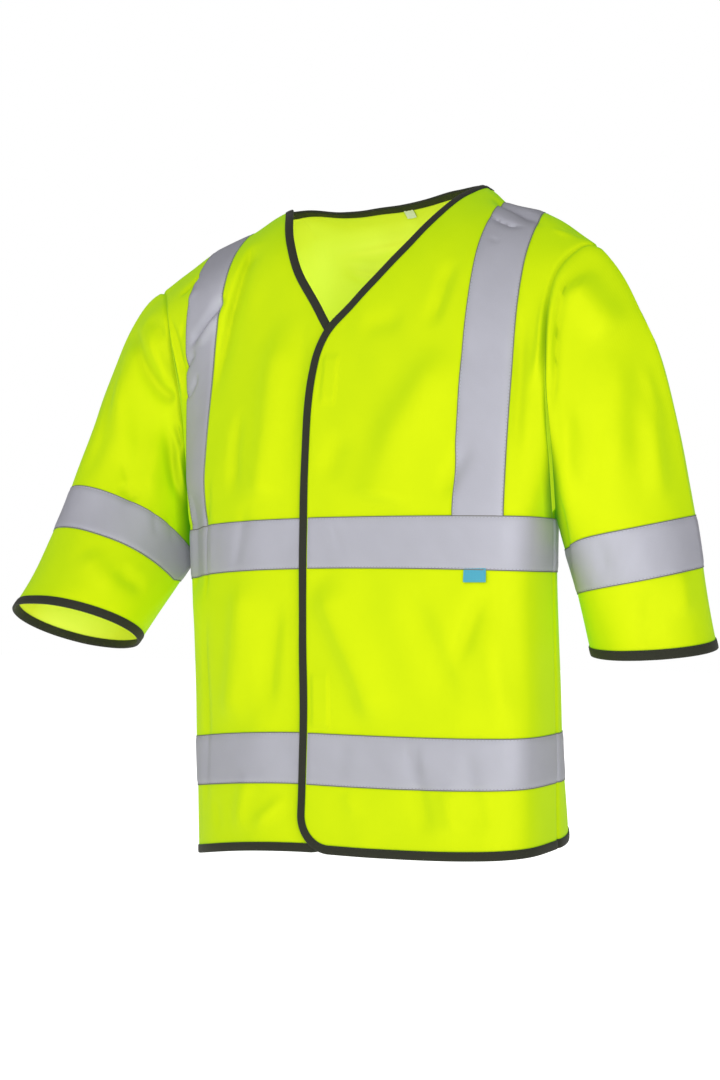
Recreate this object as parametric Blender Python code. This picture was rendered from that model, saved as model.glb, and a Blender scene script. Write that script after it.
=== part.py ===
"""High-visibility vest with short sleeves, filled out with no wearer.

Every cut piece is a thin closed solid on one shared form.  The form is worked out from three
short tables: the girth rings below the arms, the armhole edges above them, and the shoulder
line.  Metres, Z up, the front faces -Y, the wearer's left is +X, and the origin is the point
midway between the shoulders where the vest is held.
"""
import math

import bmesh
import bpy
import numpy as np

# ---------------------------------------------------------------- driving sizes
CLOTH = 0.0012              # wall of a cut panel
TAPE = 0.0010               # wall of the reflective tape
TRIM = 0.0008               # wall of one leg of the edge binding
GAP = 0.0003                # air between two pieces that touch in the cloth
TAPE_WIDTH = 0.050          # reflective tape, across
BINDING = 0.0080            # edge binding, width that shows
CUFF_BINDING = 0.0085

UNDERARM_Z = -0.306         # foot of the armholes
CHEST_TAPE = (-0.311, -0.361)
LOWER_TAPE = (-0.521, -0.571)
HEM_Z = -0.635
BACK_HEM_LIFT = 0.014       # the back hem hangs this much higher between the side seams
CORNER_RADIUS = 0.036       # lower front corner
OVERLAP_DROP = 0.0044       # right front lies this far behind the left one
ARCH = 1.70                 # how square the front and back arch over the shoulder

PATCH_WALL = 0.0024         # hook and loop patch, closed pair
PATCHES = {"upper": (-0.154, -0.197, -0.0040, 0.0115), "lower": (-0.466, -0.514, -0.0085, 0.0105)}
SIDE_LABEL = (0.023, 0.013)
SIDE_LABEL_X = 0.1655
SIZE_LABEL = (0.011, 0.012)


def table(names, *rows):
    """Turn rows of numbers into named columns.

    Args:
        names: column names, separated by spaces.
        rows: one tuple for each row.
    Returns:
        dict of column name to array.
    """
    return dict(zip(names.split(), np.array(rows, float).T))


# Girth below the arms: seam = side seam, front and back = cloth at the centre.
GIRTH = table(
    "z left_x left_y right_x right_y front_y back_y back_bend left_lift right_drop",
    (-0.310, 0.2163, -0.042, 0.2095, 0.004, -0.1146, 0.104, 1.72, -0.003, 0.008),
    (-0.361, 0.2135, -0.037, 0.2075, 0.006, -0.1152, 0.104, 1.72, -0.004, 0.010),
    (-0.430, 0.2135, -0.034, 0.2040, 0.010, -0.1160, 0.106, 1.76, -0.001, 0.013),
    (-0.521, 0.2140, -0.032, 0.2020, 0.013, -0.1140, 0.112, 1.85, 0.003, 0.018),
    (-0.571, 0.2135, -0.030, 0.2000, 0.015, -0.1170, 0.118, 1.95, 0.006, 0.020),
    (-0.640, 0.2145, -0.031, 0.1970, 0.020, -0.1220, 0.128, 2.10, 0.009, 0.0275),
)
# Armhole edges, foot (rise 0) to shoulder tip (rise 1), and how fast the front turns to them.
ARMHOLE = table(
    "rise left_x left_front left_back right_x right_front right_back left_bend right_bend",
    (0.00, 0.2163, -0.042, -0.042, 0.2095, 0.004, 0.004, 5.6, 2.6),
    (0.15, 0.2270, -0.077, 0.000, 0.2060, -0.040, 0.050, 4.4, 2.7),
    (0.35, 0.2240, -0.086, 0.030, 0.2105, -0.058, 0.066, 3.2, 2.6),
    (0.60, 0.2240, -0.070, 0.036, 0.2190, -0.074, 0.060, 2.6, 2.3),
    (0.80, 0.2400, -0.046, 0.018, 0.2410, -0.044, 0.030, 2.4, 2.1),
    (1.00, 0.2550, -0.026, -0.026, 0.2550, -0.026, -0.026, 2.0, 1.9),
)
# Shoulder seam from the middle of the neck to the tip.
SHOULDER = table(
    "x y z",
    (0.000, 0.040, 0.038),
    (0.070, 0.034, 0.035),
    (0.116, 0.0235, 0.026),
    (0.147, 0.004, 0.006),
    (0.198, -0.004, -0.014),
    (0.255, -0.026, -0.055),
)
NECK_X = 0.116
# Front edge and V: how far from the centre the edge of a front lies (plus = its own side).
NECK_EDGE = table(
    "rise left right",
    (0.00, -0.0215, -0.026),
    (0.15, -0.0215, -0.026),
    (0.24, -0.0215, -0.026),
    (0.31, -0.0195, -0.0255),
    (0.35, -0.0165, -0.020),
    (0.40, -0.006, 0.001),
    (0.46, 0.0205, 0.020),
    (0.55, 0.055, 0.0475),
    (0.65, 0.0815, 0.0665),
    (0.75, 0.0985, 0.0835),
    (0.85, 0.109, 0.0985),
    (0.93, 0.1145, 0.1088),
    (1.00, 0.116, 0.116),
)
BACK_NECK_DIP = 0.090       # rise given up at the centre of the back neck
# Inner edge of the shoulder tapes, from the centre.
BRACE = table(
    "rise left right back",
    (0.00, 0.143, 0.152, 0.150),
    (0.30, 0.146, 0.150, 0.148),
    (0.60, 0.148, 0.140, 0.146),
    (0.85, 0.150, 0.144, 0.146),
    (1.00, 0.147, 0.147, 0.147),
)
# Sleeves: middle of the cuff, the way its opening faces, the way the cloth hangs there, its half
# sizes, the band's height above it, how the cloth leaves the armhole (outer side, inner side) and
# how strongly the start and the cuff pull on the sleeve's lines.
SLEEVES = {
    1: {"cuff": (0.2920, 0.022, -0.440), "plane": (0.035, 0.11, -1.0), "way": (0.24, 0.09, -1.0),
        "half": (0.0600, 0.059), "band": (0.078, 0.0635), "start": ((0.76, -0.65), (0.26, -0.94)),
        "ease": (0.84, 0.59)},
    -1: {"cuff": (-0.2958, -0.121, -0.4194), "plane": (-0.07, -0.43, -1.0),
         "way": (-0.51, -0.485, -1.0), "half": (0.0728, 0.0623), "band": (0.0953, 0.0854),
         "start": ((0.89, -0.30), (0.42, -0.94)), "ease": (0.66, 0.78)},
}

# Rows of the panels, from the shoulder down: rise above the underarm, then height below it.
RISES = (1.0, 0.97, 0.90, 0.80, 0.70, 0.60, 0.52, 0.45, 0.40, 0.34, 0.26, 0.16, 0.06, 0.0)
DROPS = (*CHEST_TAPE, -0.441, *LOWER_TAPE, -0.612, HEM_Z)
LEVELS = RISES + tuple(z - UNDERARM_Z for z in DROPS)
ROW_CHEST = (len(RISES), len(RISES) + 1)
ROW_LOWER = (len(RISES) + 3, len(RISES) + 4)
# Columns of a front: edge, inner side of the binding, cloth, shoulder tape, cloth, seam.
FRONT_STEPS = (0.0, 0.0085, 0.021, 0.040, 0.090)
SHOULDER_STEPS = (0.0, 0.27, 0.45, 0.63, 0.81)
COL_BINDING = 1
COL_BRACE = len(FRONT_STEPS)
SIDE_STEPS = 4
NECK_STEPS = 4              # columns of the back between its centre and the end of the neck


def read(rows, key, name, at):
    """Read a table column smoothly between its rows.

    Args:
        rows: the table.
        key: name of the column that is looked up.
        name: name of the column that is wanted.
        at: where to look, number or array.
    Returns:
        the value or values there.
    """
    order = np.argsort(rows[key])
    xs, ys = rows[key][order], rows[name][order]
    slopes = np.gradient(ys, xs)
    at = np.clip(np.asarray(at, float), xs[0], xs[-1])
    i = np.clip(np.searchsorted(xs, at) - 1, 0, len(xs) - 2)
    h = xs[i + 1] - xs[i]
    s = (at - xs[i]) / h
    return ((1 + 2 * s) * (1 - s) ** 2 * ys[i] + s * (1 - s) ** 2 * h * slopes[i]
            + s * s * (3 - 2 * s) * ys[i + 1] + s * s * (s - 1) * h * slopes[i + 1])


def ease(start, end, at):
    """Soft step from 0 at start to 1 at end."""
    t = np.clip((np.asarray(at, float) - start) / (end - start), 0.0, 1.0)
    return t * t * (3.0 - 2.0 * t)


def unit(vectors):
    """Vectors of length one."""
    vectors = np.asarray(vectors, float)
    return vectors / np.maximum(np.linalg.norm(vectors, axis=-1, keepdims=True), 1e-12)


# ---------------------------------------------------------------- the form
def half_row(face, side, level, across):
    """Points of the form from the centre (across 0) to the seam (across 1).

    Args:
        face: -1 front, 1 back.
        side: 1 wearer's left, -1 wearer's right.
        level: rise 0..1 above the underarm, or metres below it when negative.
        across: array of shares of the half width.
    Returns:
        array of points.
    """
    name = "left" if side > 0 else "right"
    z = UNDERARM_Z + min(level, 0.0)
    lift = read(GIRTH, "z", "left_lift", z) if side > 0 else -read(GIRTH, "z", "right_drop", z)
    middle = read(GIRTH, "z", "front_y" if face < 0 else "back_y", z)
    foot = z + lift * across ** 2
    rise = max(level, 0.0)
    if face < 0:
        bend = np.interp(rise, ARMHOLE["rise"], ARMHOLE[name + "_bend"])
    else:
        bend = float(read(GIRTH, "z", "back_bend", z)) + 0.2 * float(ease(0.0, 0.3, rise)) - 0.5 * rise
        foot = foot + BACK_HEM_LIFT * ease(LOWER_TAPE[1], HEM_Z, z) * (1.0 - across ** 6)
    if level <= 0.0:
        seam_x = read(GIRTH, "z", name + "_x", z)
        seam_y = read(GIRTH, "z", name + "_y", z)
        turn = (1.0 - across ** bend) ** (1.0 / bend)
        return np.stack([side * seam_x * across, seam_y + (middle - seam_y) * turn, foot], -1)
    seam_x = read(ARMHOLE, "rise", name + "_x", rise)
    column = "_front" if face < 0 else "_back"
    seam_y = read(ARMHOLE, "rise", name + column, rise)
    common = sum(read(ARMHOLE, "rise", half + column, rise) for half in ("left", "right")) / 2
    x = seam_x * across
    out = math.cos(rise * math.pi / 2) ** (2 / ARCH) if rise < 1.0 else 0.0
    up = math.sin(rise * math.pi / 2) ** (2 / ARCH)
    power = 1.0 / bend + (1.0 - 1.0 / bend) * ease(0.0, 0.4, rise)
    ridge = (common + (seam_y - common) * ease(0.0, 0.5, across)
             + read(SHOULDER, "x", "y", x) - SHOULDER["y"][-1])
    y = (seam_y + (middle - seam_y) * (1.0 - across ** bend) ** power) * out + ridge * (1.0 - out)
    return np.stack([side * x, y, foot + (read(SHOULDER, "x", "z", x) - foot) * up], -1)


class Row:
    """One level of the front or back form, from the right seam to the left one."""

    def __init__(self, face, level, count=240):
        """Sample the level finely so that it can be read by x or by length."""
        across = np.sin((1.0 - (1.0 - np.linspace(0, 1, count)) ** 2.5) * math.pi / 2)
        left = half_row(face, 1, level, across)
        right = half_row(face, -1, level, across)
        self.points = np.vstack([right[::-1], left[1:]])
        steps = np.linalg.norm(np.diff(self.points, axis=0), axis=1)
        self.length = np.concatenate([[0.0], np.cumsum(steps)])
        self.length -= self.length[count - 1]

    def length_at(self, x):
        """Signed length from the centre to the cloth at x."""
        return float(np.interp(x, self.points[:, 0], self.length))

    def seam(self, side):
        """Signed length from the centre to the seam."""
        return self.length[-1] if side > 0 else self.length[0]

    def at(self, length):
        """Point at a signed length from the centre."""
        return np.array([np.interp(length, self.length, self.points[:, k]) for k in range(3)])


def tail_columns(row, side, brace_x):
    """Lengths of the shoulder tape's edges and of the columns from there to the seam."""
    start = abs(row.length_at(side * brace_x))
    stop = abs(row.seam(side))
    lengths = [start, start + TAPE_WIDTH / 2, start + TAPE_WIDTH]
    lengths += list(np.linspace(start + TAPE_WIDTH, stop, SIDE_STEPS + 1)[1:])
    return lengths


def front_grid(side):
    """Outer points of a front, rows from the shoulder down, columns from its edge out."""
    name = "left" if side > 0 else "right"
    rows = []
    for index, level in enumerate(LEVELS):
        row = Row(-1, level)
        rise = max(level, 0.0)
        edge_x = side * float(read(NECK_EDGE, "rise", name, rise))
        tail = tail_columns(row, side, float(read(BRACE, "rise", name, rise)))
        edge = side * row.length_at(edge_x)
        span = tail[0] - edge
        strip = 0.0085 + 0.0045 * float(ease(0.30, 0.42, rise) - ease(0.62, 0.85, rise))
        low = [edge + (strip if k == 1 else step / 0.163 * span) for k, step in enumerate(FRONT_STEPS)]
        high = [edge + (strip if k == 1 else step * span) for k, step in enumerate(SHOULDER_STEPS)]
        share = float(ease(0.15, 0.75, rise))
        inner = [a + (b - a) * share for a, b in zip(low, high)]
        points = [row.at(side * length) for length in inner + tail]
        if level < LOWER_TAPE[1] - UNDERARM_Z:
            points = round_corner(points, inner, row, side, index)
        rows.append(points)
    return np.array(rows)


def round_corner(points, lengths, row, side, index):
    """Lift the lowest rows of a front around its lower corner, along the form."""
    last = len(LEVELS) - 1
    full = HEM_Z - LOWER_TAPE[1]
    share = (row.at(0.0)[2] - LOWER_TAPE[1]) / full
    for k, length in enumerate(lengths):
        away = length - lengths[0]
        if k == 0 and index == last:
            away = CORNER_RADIUS * (1.0 - math.cos(math.radians(20.0)))
        if away >= CORNER_RADIUS:
            continue
        lift = CORNER_RADIUS - math.sqrt(CORNER_RADIUS ** 2 - (CORNER_RADIUS - away) ** 2)
        target = LOWER_TAPE[1] + (full + lift) * share
        if k == 0 and index < last:
            target = HEM_Z + CORNER_RADIUS
        points[k] = Row(-1, target - UNDERARM_Z).at(side * (lengths[0] + away))
    return points


def back_grid():
    """Outer points of the back, rows from the shoulder down, columns right seam to left seam."""
    rows = []
    for level in LEVELS:
        rise = max(level, 0.0)
        row = Row(1, level)
        halves = {}
        for side in (-1, 1):
            tail = tail_columns(row, side, float(read(BRACE, "rise", "back", rise)))
            neck = abs(row.length_at(side * NECK_X))
            even = [tail[0] * k / (len(SHOULDER_STEPS) + NECK_STEPS)
                    for k in range(len(SHOULDER_STEPS) + NECK_STEPS)]
            span = tail[0] - neck
            high = [neck * math.sin(math.pi / 2 * k / NECK_STEPS) for k in range(NECK_STEPS)]
            high += [neck + (0.0085 if k == 1 else step * span)
                     for k, step in enumerate(SHOULDER_STEPS)]
            share = float(ease(0.25, 0.85, rise))
            halves[side] = [a + (b - a) * share for a, b in zip(even, high)] + tail
        points = []
        for length in [-v for v in halves[-1][::-1]] + halves[1][1:]:
            point = row.at(length)
            if rise > 0.0 and abs(point[0]) < NECK_X:
                dip = BACK_NECK_DIP * (1.0 - (point[0] / NECK_X) ** 2) ** 0.55
                lower = Row(1, rise * (1.0 - dip), 60)
                point = lower.at(lower.length_at(point[0]))
            points.append(point)
        rows.append(points)
    return np.array(rows)


def drop_under(grid, normals):
    """Set the right front back from the form where the left front lies over it."""
    edge = np.linalg.norm(np.diff(grid, axis=1), axis=2).cumsum(axis=1)
    away = np.concatenate([np.zeros((len(grid), 1)), edge], axis=1)
    rise = np.maximum(np.array(LEVELS), 0.0)[:, None]
    depth = OVERLAP_DROP * (1.0 - ease(0.048, 0.110, away)) * (1.0 - ease(0.45, 0.80, rise))
    return grid - normals * depth[..., None]


def sleeve_grid(side, front, back):
    """Outer points of a sleeve, rows from the armhole to the cuff, columns around it.

    Args:
        side: 1 left, -1 right.
        front: the front's grid; its last column above the underarm is the armhole.
        back: the back's grid.
    Returns:
        array of rows of points, each row a closed ring.
    """
    count = len(RISES)
    fore = front[:count, -1]
    hind = back[:count, -1 if side > 0 else 0]
    loop = np.vstack([fore, hind[1:-1][::-1]])
    angles = []
    for line, sign in ((fore, 1.0), (hind, -1.0)):
        run = np.concatenate([[0.0], np.linalg.norm(np.diff(line, axis=0), axis=1).cumsum()])
        angles.append(sign * math.pi * run / run[-1])
    angle = np.concatenate([angles[0], angles[1][1:-1][::-1]])
    sleeve = SLEEVES[side]
    axis, way = unit(sleeve["plane"]), unit(sleeve["way"])
    outward = unit(np.array([side, 0.0, 0.0]) - side * axis[0] * axis)
    forward = unit(np.array([0.0, -1.0, 0.0]) + axis[1] * axis + 0.0 * outward)
    forward = unit(forward - np.dot(forward, outward) * outward)
    wide, deep = sleeve["half"]
    cuff = (np.array(sleeve["cuff"]) + outward * (wide * np.cos(angle))[:, None]
            + forward * (deep * np.sin(angle))[:, None])
    lines = []
    for a, b, turn in zip(loop, cuff, angle):
        reach = np.linalg.norm(b - a)
        outer = (1.0 + math.cos(turn)) / 2
        (far, fall), (near, drop) = sleeve["start"]
        start = unit([side * (near + (far - near) * outer), 0.0, drop + (fall - drop) * outer])
        t = np.linspace(0.0, 1.0, 160)[:, None]
        curve = ((1 + 2 * t) * (1 - t) ** 2 * a + t * (1 - t) ** 2 * start * reach * sleeve["ease"][0]
                 + t * t * (3 - 2 * t) * b + t * t * (t - 1) * way * reach * sleeve["ease"][1])
        run = np.concatenate([[0.0], np.linalg.norm(np.diff(curve, axis=0), axis=1).cumsum()])
        foot = sleeve["band"][1] + (sleeve["band"][0] - sleeve["band"][1]) * outer
        top = run[-1] - foot - TAPE_WIDTH
        stops = [top * s for s in (0.0, 0.17, 0.40, 0.68, 1.0)]
        stops += [top + TAPE_WIDTH, run[-1] - foot * 0.5, run[-1] - CUFF_BINDING - 0.001, run[-1]]
        lines.append([[np.interp(s, run, curve[:, k]) for k in range(3)] for s in stops])
    return np.array(lines).transpose(1, 0, 2)


ROW_BAND = (4, 5)


# ---------------------------------------------------------------- normals and seams
def grid_normals(grid, flip, ring=False):
    """Area-weighted normals of a grid's points.

    Args:
        grid: rows of points.
        flip: turn the normals around.
        ring: the columns close on themselves.
    Returns:
        array like grid, of vectors that keep their area weight.
    """
    rows, cols = grid.shape[:2]
    total = np.zeros_like(grid)
    for r in range(rows - 1):
        for c in range(cols if ring else cols - 1):
            d = (c + 1) % cols
            face = np.cross(grid[r + 1, d] - grid[r, c], grid[r, d] - grid[r + 1, c])
            for i, j in ((r, c), (r + 1, c), (r, d), (r + 1, d)):
                total[i, j] += face
    return -total if flip else total


def share_normals(grids, weighted):
    """Give points that several grids share one common normal.

    The front and the back are joined first, then the sleeves to them.
    """
    sums = {}
    for key in grids:
        group = key.startswith("sleeve")
        for point, normal in zip(grids[key].reshape(-1, 3), weighted[key].reshape(-1, 3)):
            spot = sums.setdefault(tuple(np.round(point, 6) + 0.0), [np.zeros(3), np.zeros(3)])
            spot[group] = spot[group] + unit(normal)
    shared = {}
    for key in grids:
        flat = [unit(unit(panels) + unit(sleeves)) for panels, sleeves in
                (sums[tuple(np.round(p, 6) + 0.0)] for p in grids[key].reshape(-1, 3))]
        shared[key] = np.array(flat).reshape(grids[key].shape)
    return shared


def armhole_normals(front, back, side):
    """The panels' own normals around an armhole, in the order of the sleeve's columns."""
    count = len(RISES)
    hind = unit(back[:count, -1 if side > 0 else 0])
    fore = unit(front[:count, -1])
    fore[0], fore[-1] = unit(fore[0] + hind[0]), unit(fore[-1] + hind[-1])
    return np.vstack([fore, hind[1:-1][::-1]])


def clear_sleeve(ring, panels):
    """Start a sleeve a gap away from the armhole, further down where it folds back on the panels.

    Args:
        ring: the sleeve's grid.
        panels: directions into the panels at the armhole.
    Returns:
        a new grid.
    """
    lines = unit(ring[1] - ring[0])
    turn = np.clip((lines * panels).sum(axis=1), -1.0, 1.0)
    reach = np.where(turn > 0.0, 1.5 * GAP / np.maximum(np.sqrt(1.0 - turn ** 2), 0.18), GAP / 2)
    moved = ring.copy()
    moved[0] += lines * reach[:, None]
    return moved


def pull_back(grid, sides):
    """Move border rows or columns half a gap into the piece.

    Args:
        grid: rows of points.
        sides: any of "top", "bottom", "first", "last" with the part of the border as a slice.
    Returns:
        a new grid.
    """
    moved = grid.copy()
    for side, part in sides:
        if side == "top":
            moved[0, part] += unit(grid[1, part] - grid[0, part]) * GAP / 2
        elif side == "bottom":
            moved[-1, part] += unit(grid[-2, part] - grid[-1, part]) * GAP / 2
        elif side == "first":
            moved[part, 0] += unit(grid[part, 1] - grid[part, 0]) * GAP / 2
        else:
            moved[part, -1] += unit(grid[part, -2] - grid[part, -1]) * GAP / 2
    return moved


# ---------------------------------------------------------------- solids
FINISHES = {
    "fluorescent_cloth": ((0.66, 0.90, 0.01), 0.72, 0.0),
    "reflective_tape": ((0.49, 0.49, 0.54), 0.38, 0.0),
    "edge_binding": ((0.022, 0.023, 0.014), 0.80, 0.0),
    "blue_label": ((0.08, 0.41, 0.55), 0.60, 0.0),
    "white_label": ((0.80, 0.80, 0.79), 0.65, 0.0),
    "fastener_tape": ((0.62, 0.85, 0.03), 0.85, 0.0),
}


def finish(name):
    """A Principled material from the table of finishes, made once."""
    if name in bpy.data.materials:
        return bpy.data.materials[name]
    colour, roughness, metallic = FINISHES[name]
    material = bpy.data.materials.new(name)
    material.use_nodes = True
    shader = material.node_tree.nodes["Principled BSDF"]
    shader.inputs["Base Color"].default_value = (*colour, 1.0)
    shader.inputs["Roughness"].default_value = roughness
    shader.inputs["Metallic"].default_value = metallic
    return material


def make(name, vertices, faces, material):
    """Make one closed solid, its faces turned outward.

    Args:
        name: the object's name.
        vertices: points in metres.
        faces: tuples of vertex numbers.
        material: name of its finish.
    """
    mesh = bpy.data.meshes.new(name)
    mesh.from_pydata([tuple(v) for v in vertices], [], faces)
    solid = bmesh.new()
    solid.from_mesh(mesh)
    bmesh.ops.recalc_face_normals(solid, faces=solid.faces[:])
    if solid.calc_volume(signed=True) < 0.0:
        bmesh.ops.reverse_faces(solid, faces=solid.faces[:])
    solid.to_mesh(mesh)
    solid.free()
    mesh.materials.append(finish(material))
    bpy.context.scene.collection.objects.link(bpy.data.objects.new(name, mesh))


def sheet(name, grid, normals, outer, inner, material, ring=False, crossed=0):
    """Make a thin solid that follows a grid.

    Args:
        name: the object's name.
        grid: rows of points on the cloth.
        normals: outward normals at those points.
        outer: how far out its outer side lies.
        inner: how far out its inner side lies.
        material: name of its finish.
        ring: the columns close on themselves.
        crossed: how many of the first rows are split along their other diagonal.
    """
    rows, cols = grid.shape[:2]
    vertices = np.concatenate([(grid + normals * outer).reshape(-1, 3),
                               (grid + normals * inner).reshape(-1, 3)])
    size = rows * cols
    faces = []
    for r in range(rows - 1):
        for c in range(cols if ring else cols - 1):
            d = (c + 1) % cols
            a, b, e, f = r * cols + c, (r + 1) * cols + c, (r + 1) * cols + d, r * cols + d
            split = ((a, b, f), (b, e, f)) if r < crossed else ((a, b, e), (a, e, f))
            for corners in split:
                faces.append(corners)
                faces.append(tuple(i + size for i in corners[::-1]))
    rim = [(c, (c + 1) % cols) for c in range(cols if ring else cols - 1)]
    low = (rows - 1) * cols
    rim += [(low + b, low + a) for a, b in rim]
    if not ring:
        rim += [((r + 1) * cols, r * cols) for r in range(rows - 1)]
        rim += [(r * cols + cols - 1, (r + 1) * cols + cols - 1) for r in range(rows - 1)]
    for a, b in rim:
        faces += [(a, b, b + size), (a, b + size, a + size)]
    make(name, vertices, faces, material)


def edge_frames(path, normals, leans):
    """Outward directions in the cloth along a closed edge.

    Args:
        path: points of the loop; the cloth is on the left of the way along it, seen from outside.
        normals: outward normals of the cloth there.
        leans: from the next point inside the cloth to each point, or zero to stand square.
    Returns:
        one vector for each point, as long as its slant asks, for the cloth's side of the edge,
        and one for the open side; they differ only where a point is given twice.
    """
    before = unit(path - np.roll(path, 1, axis=0))
    after = unit(np.roll(path, -1, axis=0) - path)
    along = unit(before + after)
    twice = np.linalg.norm(np.roll(path, -1, axis=0) - path, axis=1) < 1e-7
    corner = np.maximum((along * np.where(twice[:, None], before, after)).sum(axis=1), 0.75)
    square = unit(np.cross(along, normals)) / corner[:, None]
    leans = unit(leans)
    slant = np.linalg.norm(np.cross(leans, along), axis=1, keepdims=True)
    legs = np.where(np.abs(leans).sum(axis=1, keepdims=True) > 0.1,
                    leans / np.maximum(slant, 0.72), square)
    open_side = legs.copy()
    for i in np.flatnonzero(twice):
        j = (i + 1) % len(path)
        mitre = (legs[i] + legs[j]) / max(1.0 + float(unit(legs[i]) @ unit(legs[j])), 0.5)
        open_side[i] = open_side[j] = mitre
    return legs, open_side


def binding(name, path, outs, normals, width, crossed=0, closed=False):
    """Fold a strip over a cloth edge.

    Args:
        name: the object's name.
        path: points along the edge, on the outer side of the cloth.
        outs: the two sets of outward directions from edge_frames.
        normals: outward normals of the cloth.
        width: how much of the strip shows.
        crossed: how many of the first lengths are split along their other diagonal.
        closed: the path is a loop.
    """
    count = len(path)
    far = top = GAP + TRIM
    low = -CLOTH - GAP - TRIM
    profile = ((-width, top), (far, top), (far, low), (-width, low),
               (-width, low + TRIM), (far - TRIM, low + TRIM), (far - TRIM, top - TRIM),
               (-width, top - TRIM))
    vertices = [path[i] + outs[a > 0.0][i] * a + normals[i] * b for i in range(count)
                for a, b in profile]
    size = len(profile)
    faces = []
    for i in range(count if closed else count - 1):
        j = (i + 1) % count
        for k in range(size):
            m = (k + 1) % size
            a, b, e, f = i * size + k, i * size + m, j * size + m, j * size + k
            turned = (i < crossed) != (k in (2, 6))
            faces += [(a, b, f), (b, e, f)] if turned else [(a, b, e), (a, e, f)]
    if not closed:
        for a, b, e, f in ((0, 1, 6, 7), (1, 2, 5, 6), (2, 3, 4, 5)):
            faces += [(a, e, b), (a, f, e)]
            a, b, e, f = (k + (count - 1) * size for k in (a, b, e, f))
            faces += [(a, b, e), (a, e, f)]
    make(name, *weld(vertices, faces), "edge_binding")


def weld(vertices, faces):
    """Join points that lie on one another and leave out the faces that close up."""
    spots = {}
    index = [spots.setdefault(tuple(np.round(v, 8) + 0.0), len(spots)) for v in vertices]
    joined = [tuple(index[i] for i in face) for face in faces]
    return list(spots), [face for face in joined if len(set(face)) == len(face)]


def patch(grid, normals, rows, places):
    """Points and normals inside a grid, read by fractional row and by x.

    Args:
        grid: rows of points.
        normals: outward normals at those points.
        rows: fractional rows.
        places: x of every point in a row.
    Returns:
        the points and their normals.
    """
    points, faces = [], []
    for r in rows:
        i = min(int(r), len(grid) - 2)
        run = grid[i, :, 0] * (1 - r + i) + grid[i + 1, :, 0] * (r - i)
        line, way = [], []
        for c in (fractional(run, x) for x in places):
            j = min(int(c), grid.shape[1] - 2)
            a, b = r - i, c - j
            weights = ((1 - max(a, b), i, j), (max(a - b, 0.0), i + 1, j),
                       (max(b - a, 0.0), i, j + 1), (min(a, b), i + 1, j + 1))
            line.append(sum(w * grid[m, n] for w, m, n in weights))
            way.append(sum(w * normals[m, n] for w, m, n in weights))
        points.append(line)
        faces.append(way)
    return np.array(points), unit(np.array(faces))


def fractional(values, target):
    """Place of a value in a monotone run of values, as a fractional index."""
    values = np.asarray(values, float)
    index = np.arange(len(values))
    order = np.argsort(values)
    return float(np.interp(target, values[order], index[order]))


def trim_ends(points, reach):
    """Shorten an open path at both ends; an end that is given twice moves as one."""
    points = np.array(points, float)
    for ends in ((0, 1, 2), (-1, -2, -3)):
        twice = np.linalg.norm(points[ends[1]] - points[ends[0]]) < 1e-7
        step = unit(points[ends[2 if twice else 1]] - points[ends[0]]) * reach
        for i in ends[:2] if twice else ends[:1]:
            points[i] += step
    return points


# ---------------------------------------------------------------- the garment
def build():
    """Make every piece of the vest."""
    for item in list(bpy.data.objects):
        bpy.data.objects.remove(item, do_unlink=True)

    grids = {"front_left": front_grid(1), "front_right": front_grid(-1), "back": back_grid()}
    weighted = {"front_left": grid_normals(grids["front_left"], False),
                "front_right": grid_normals(grids["front_right"], True),
                "back": grid_normals(grids["back"], True)}
    for side, name in ((1, "left"), (-1, "right")):
        ring = sleeve_grid(side, grids["front_" + name], grids["back"])
        grids["sleeve_" + name] = ring
        weighted["sleeve_" + name] = grid_normals(ring, side > 0, ring=True)
    normals = share_normals(grids, weighted)
    grids["front_right"] = drop_under(grids["front_right"], normals["front_right"])

    whole = slice(None)
    arm = slice(0, len(RISES))
    cut = {}
    for name in ("front_left", "front_right"):
        cut[name] = pull_back(grids[name], (("top", whole), ("last", whole)))
    edge = COL_BRACE + 3 + SIDE_STEPS
    sides = (("top", slice(0, edge)), ("top", slice(-edge, None)), ("first", whole), ("last", whole))
    cut["back"] = pull_back(grids["back"], sides)
    for side, name in ((1, "left"), (-1, "right")):
        ring = grids["sleeve_" + name]
        along = unit(np.roll(ring[0], -1, axis=0) - np.roll(ring[0], 1, axis=0))
        outward = armhole_normals(weighted["front_" + name], weighted["back"], side)
        cut["sleeve_" + name] = clear_sleeve(ring, -side * unit(np.cross(along, outward)))
    for name in cut:
        sheet(name, cut[name], normals[name], 0.0, -CLOTH, "fluorescent_cloth",
              ring=name.startswith("sleeve"))

    add_tapes(grids, cut, normals)
    add_bindings(grids, normals)
    add_trim(grids, normals)


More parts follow.
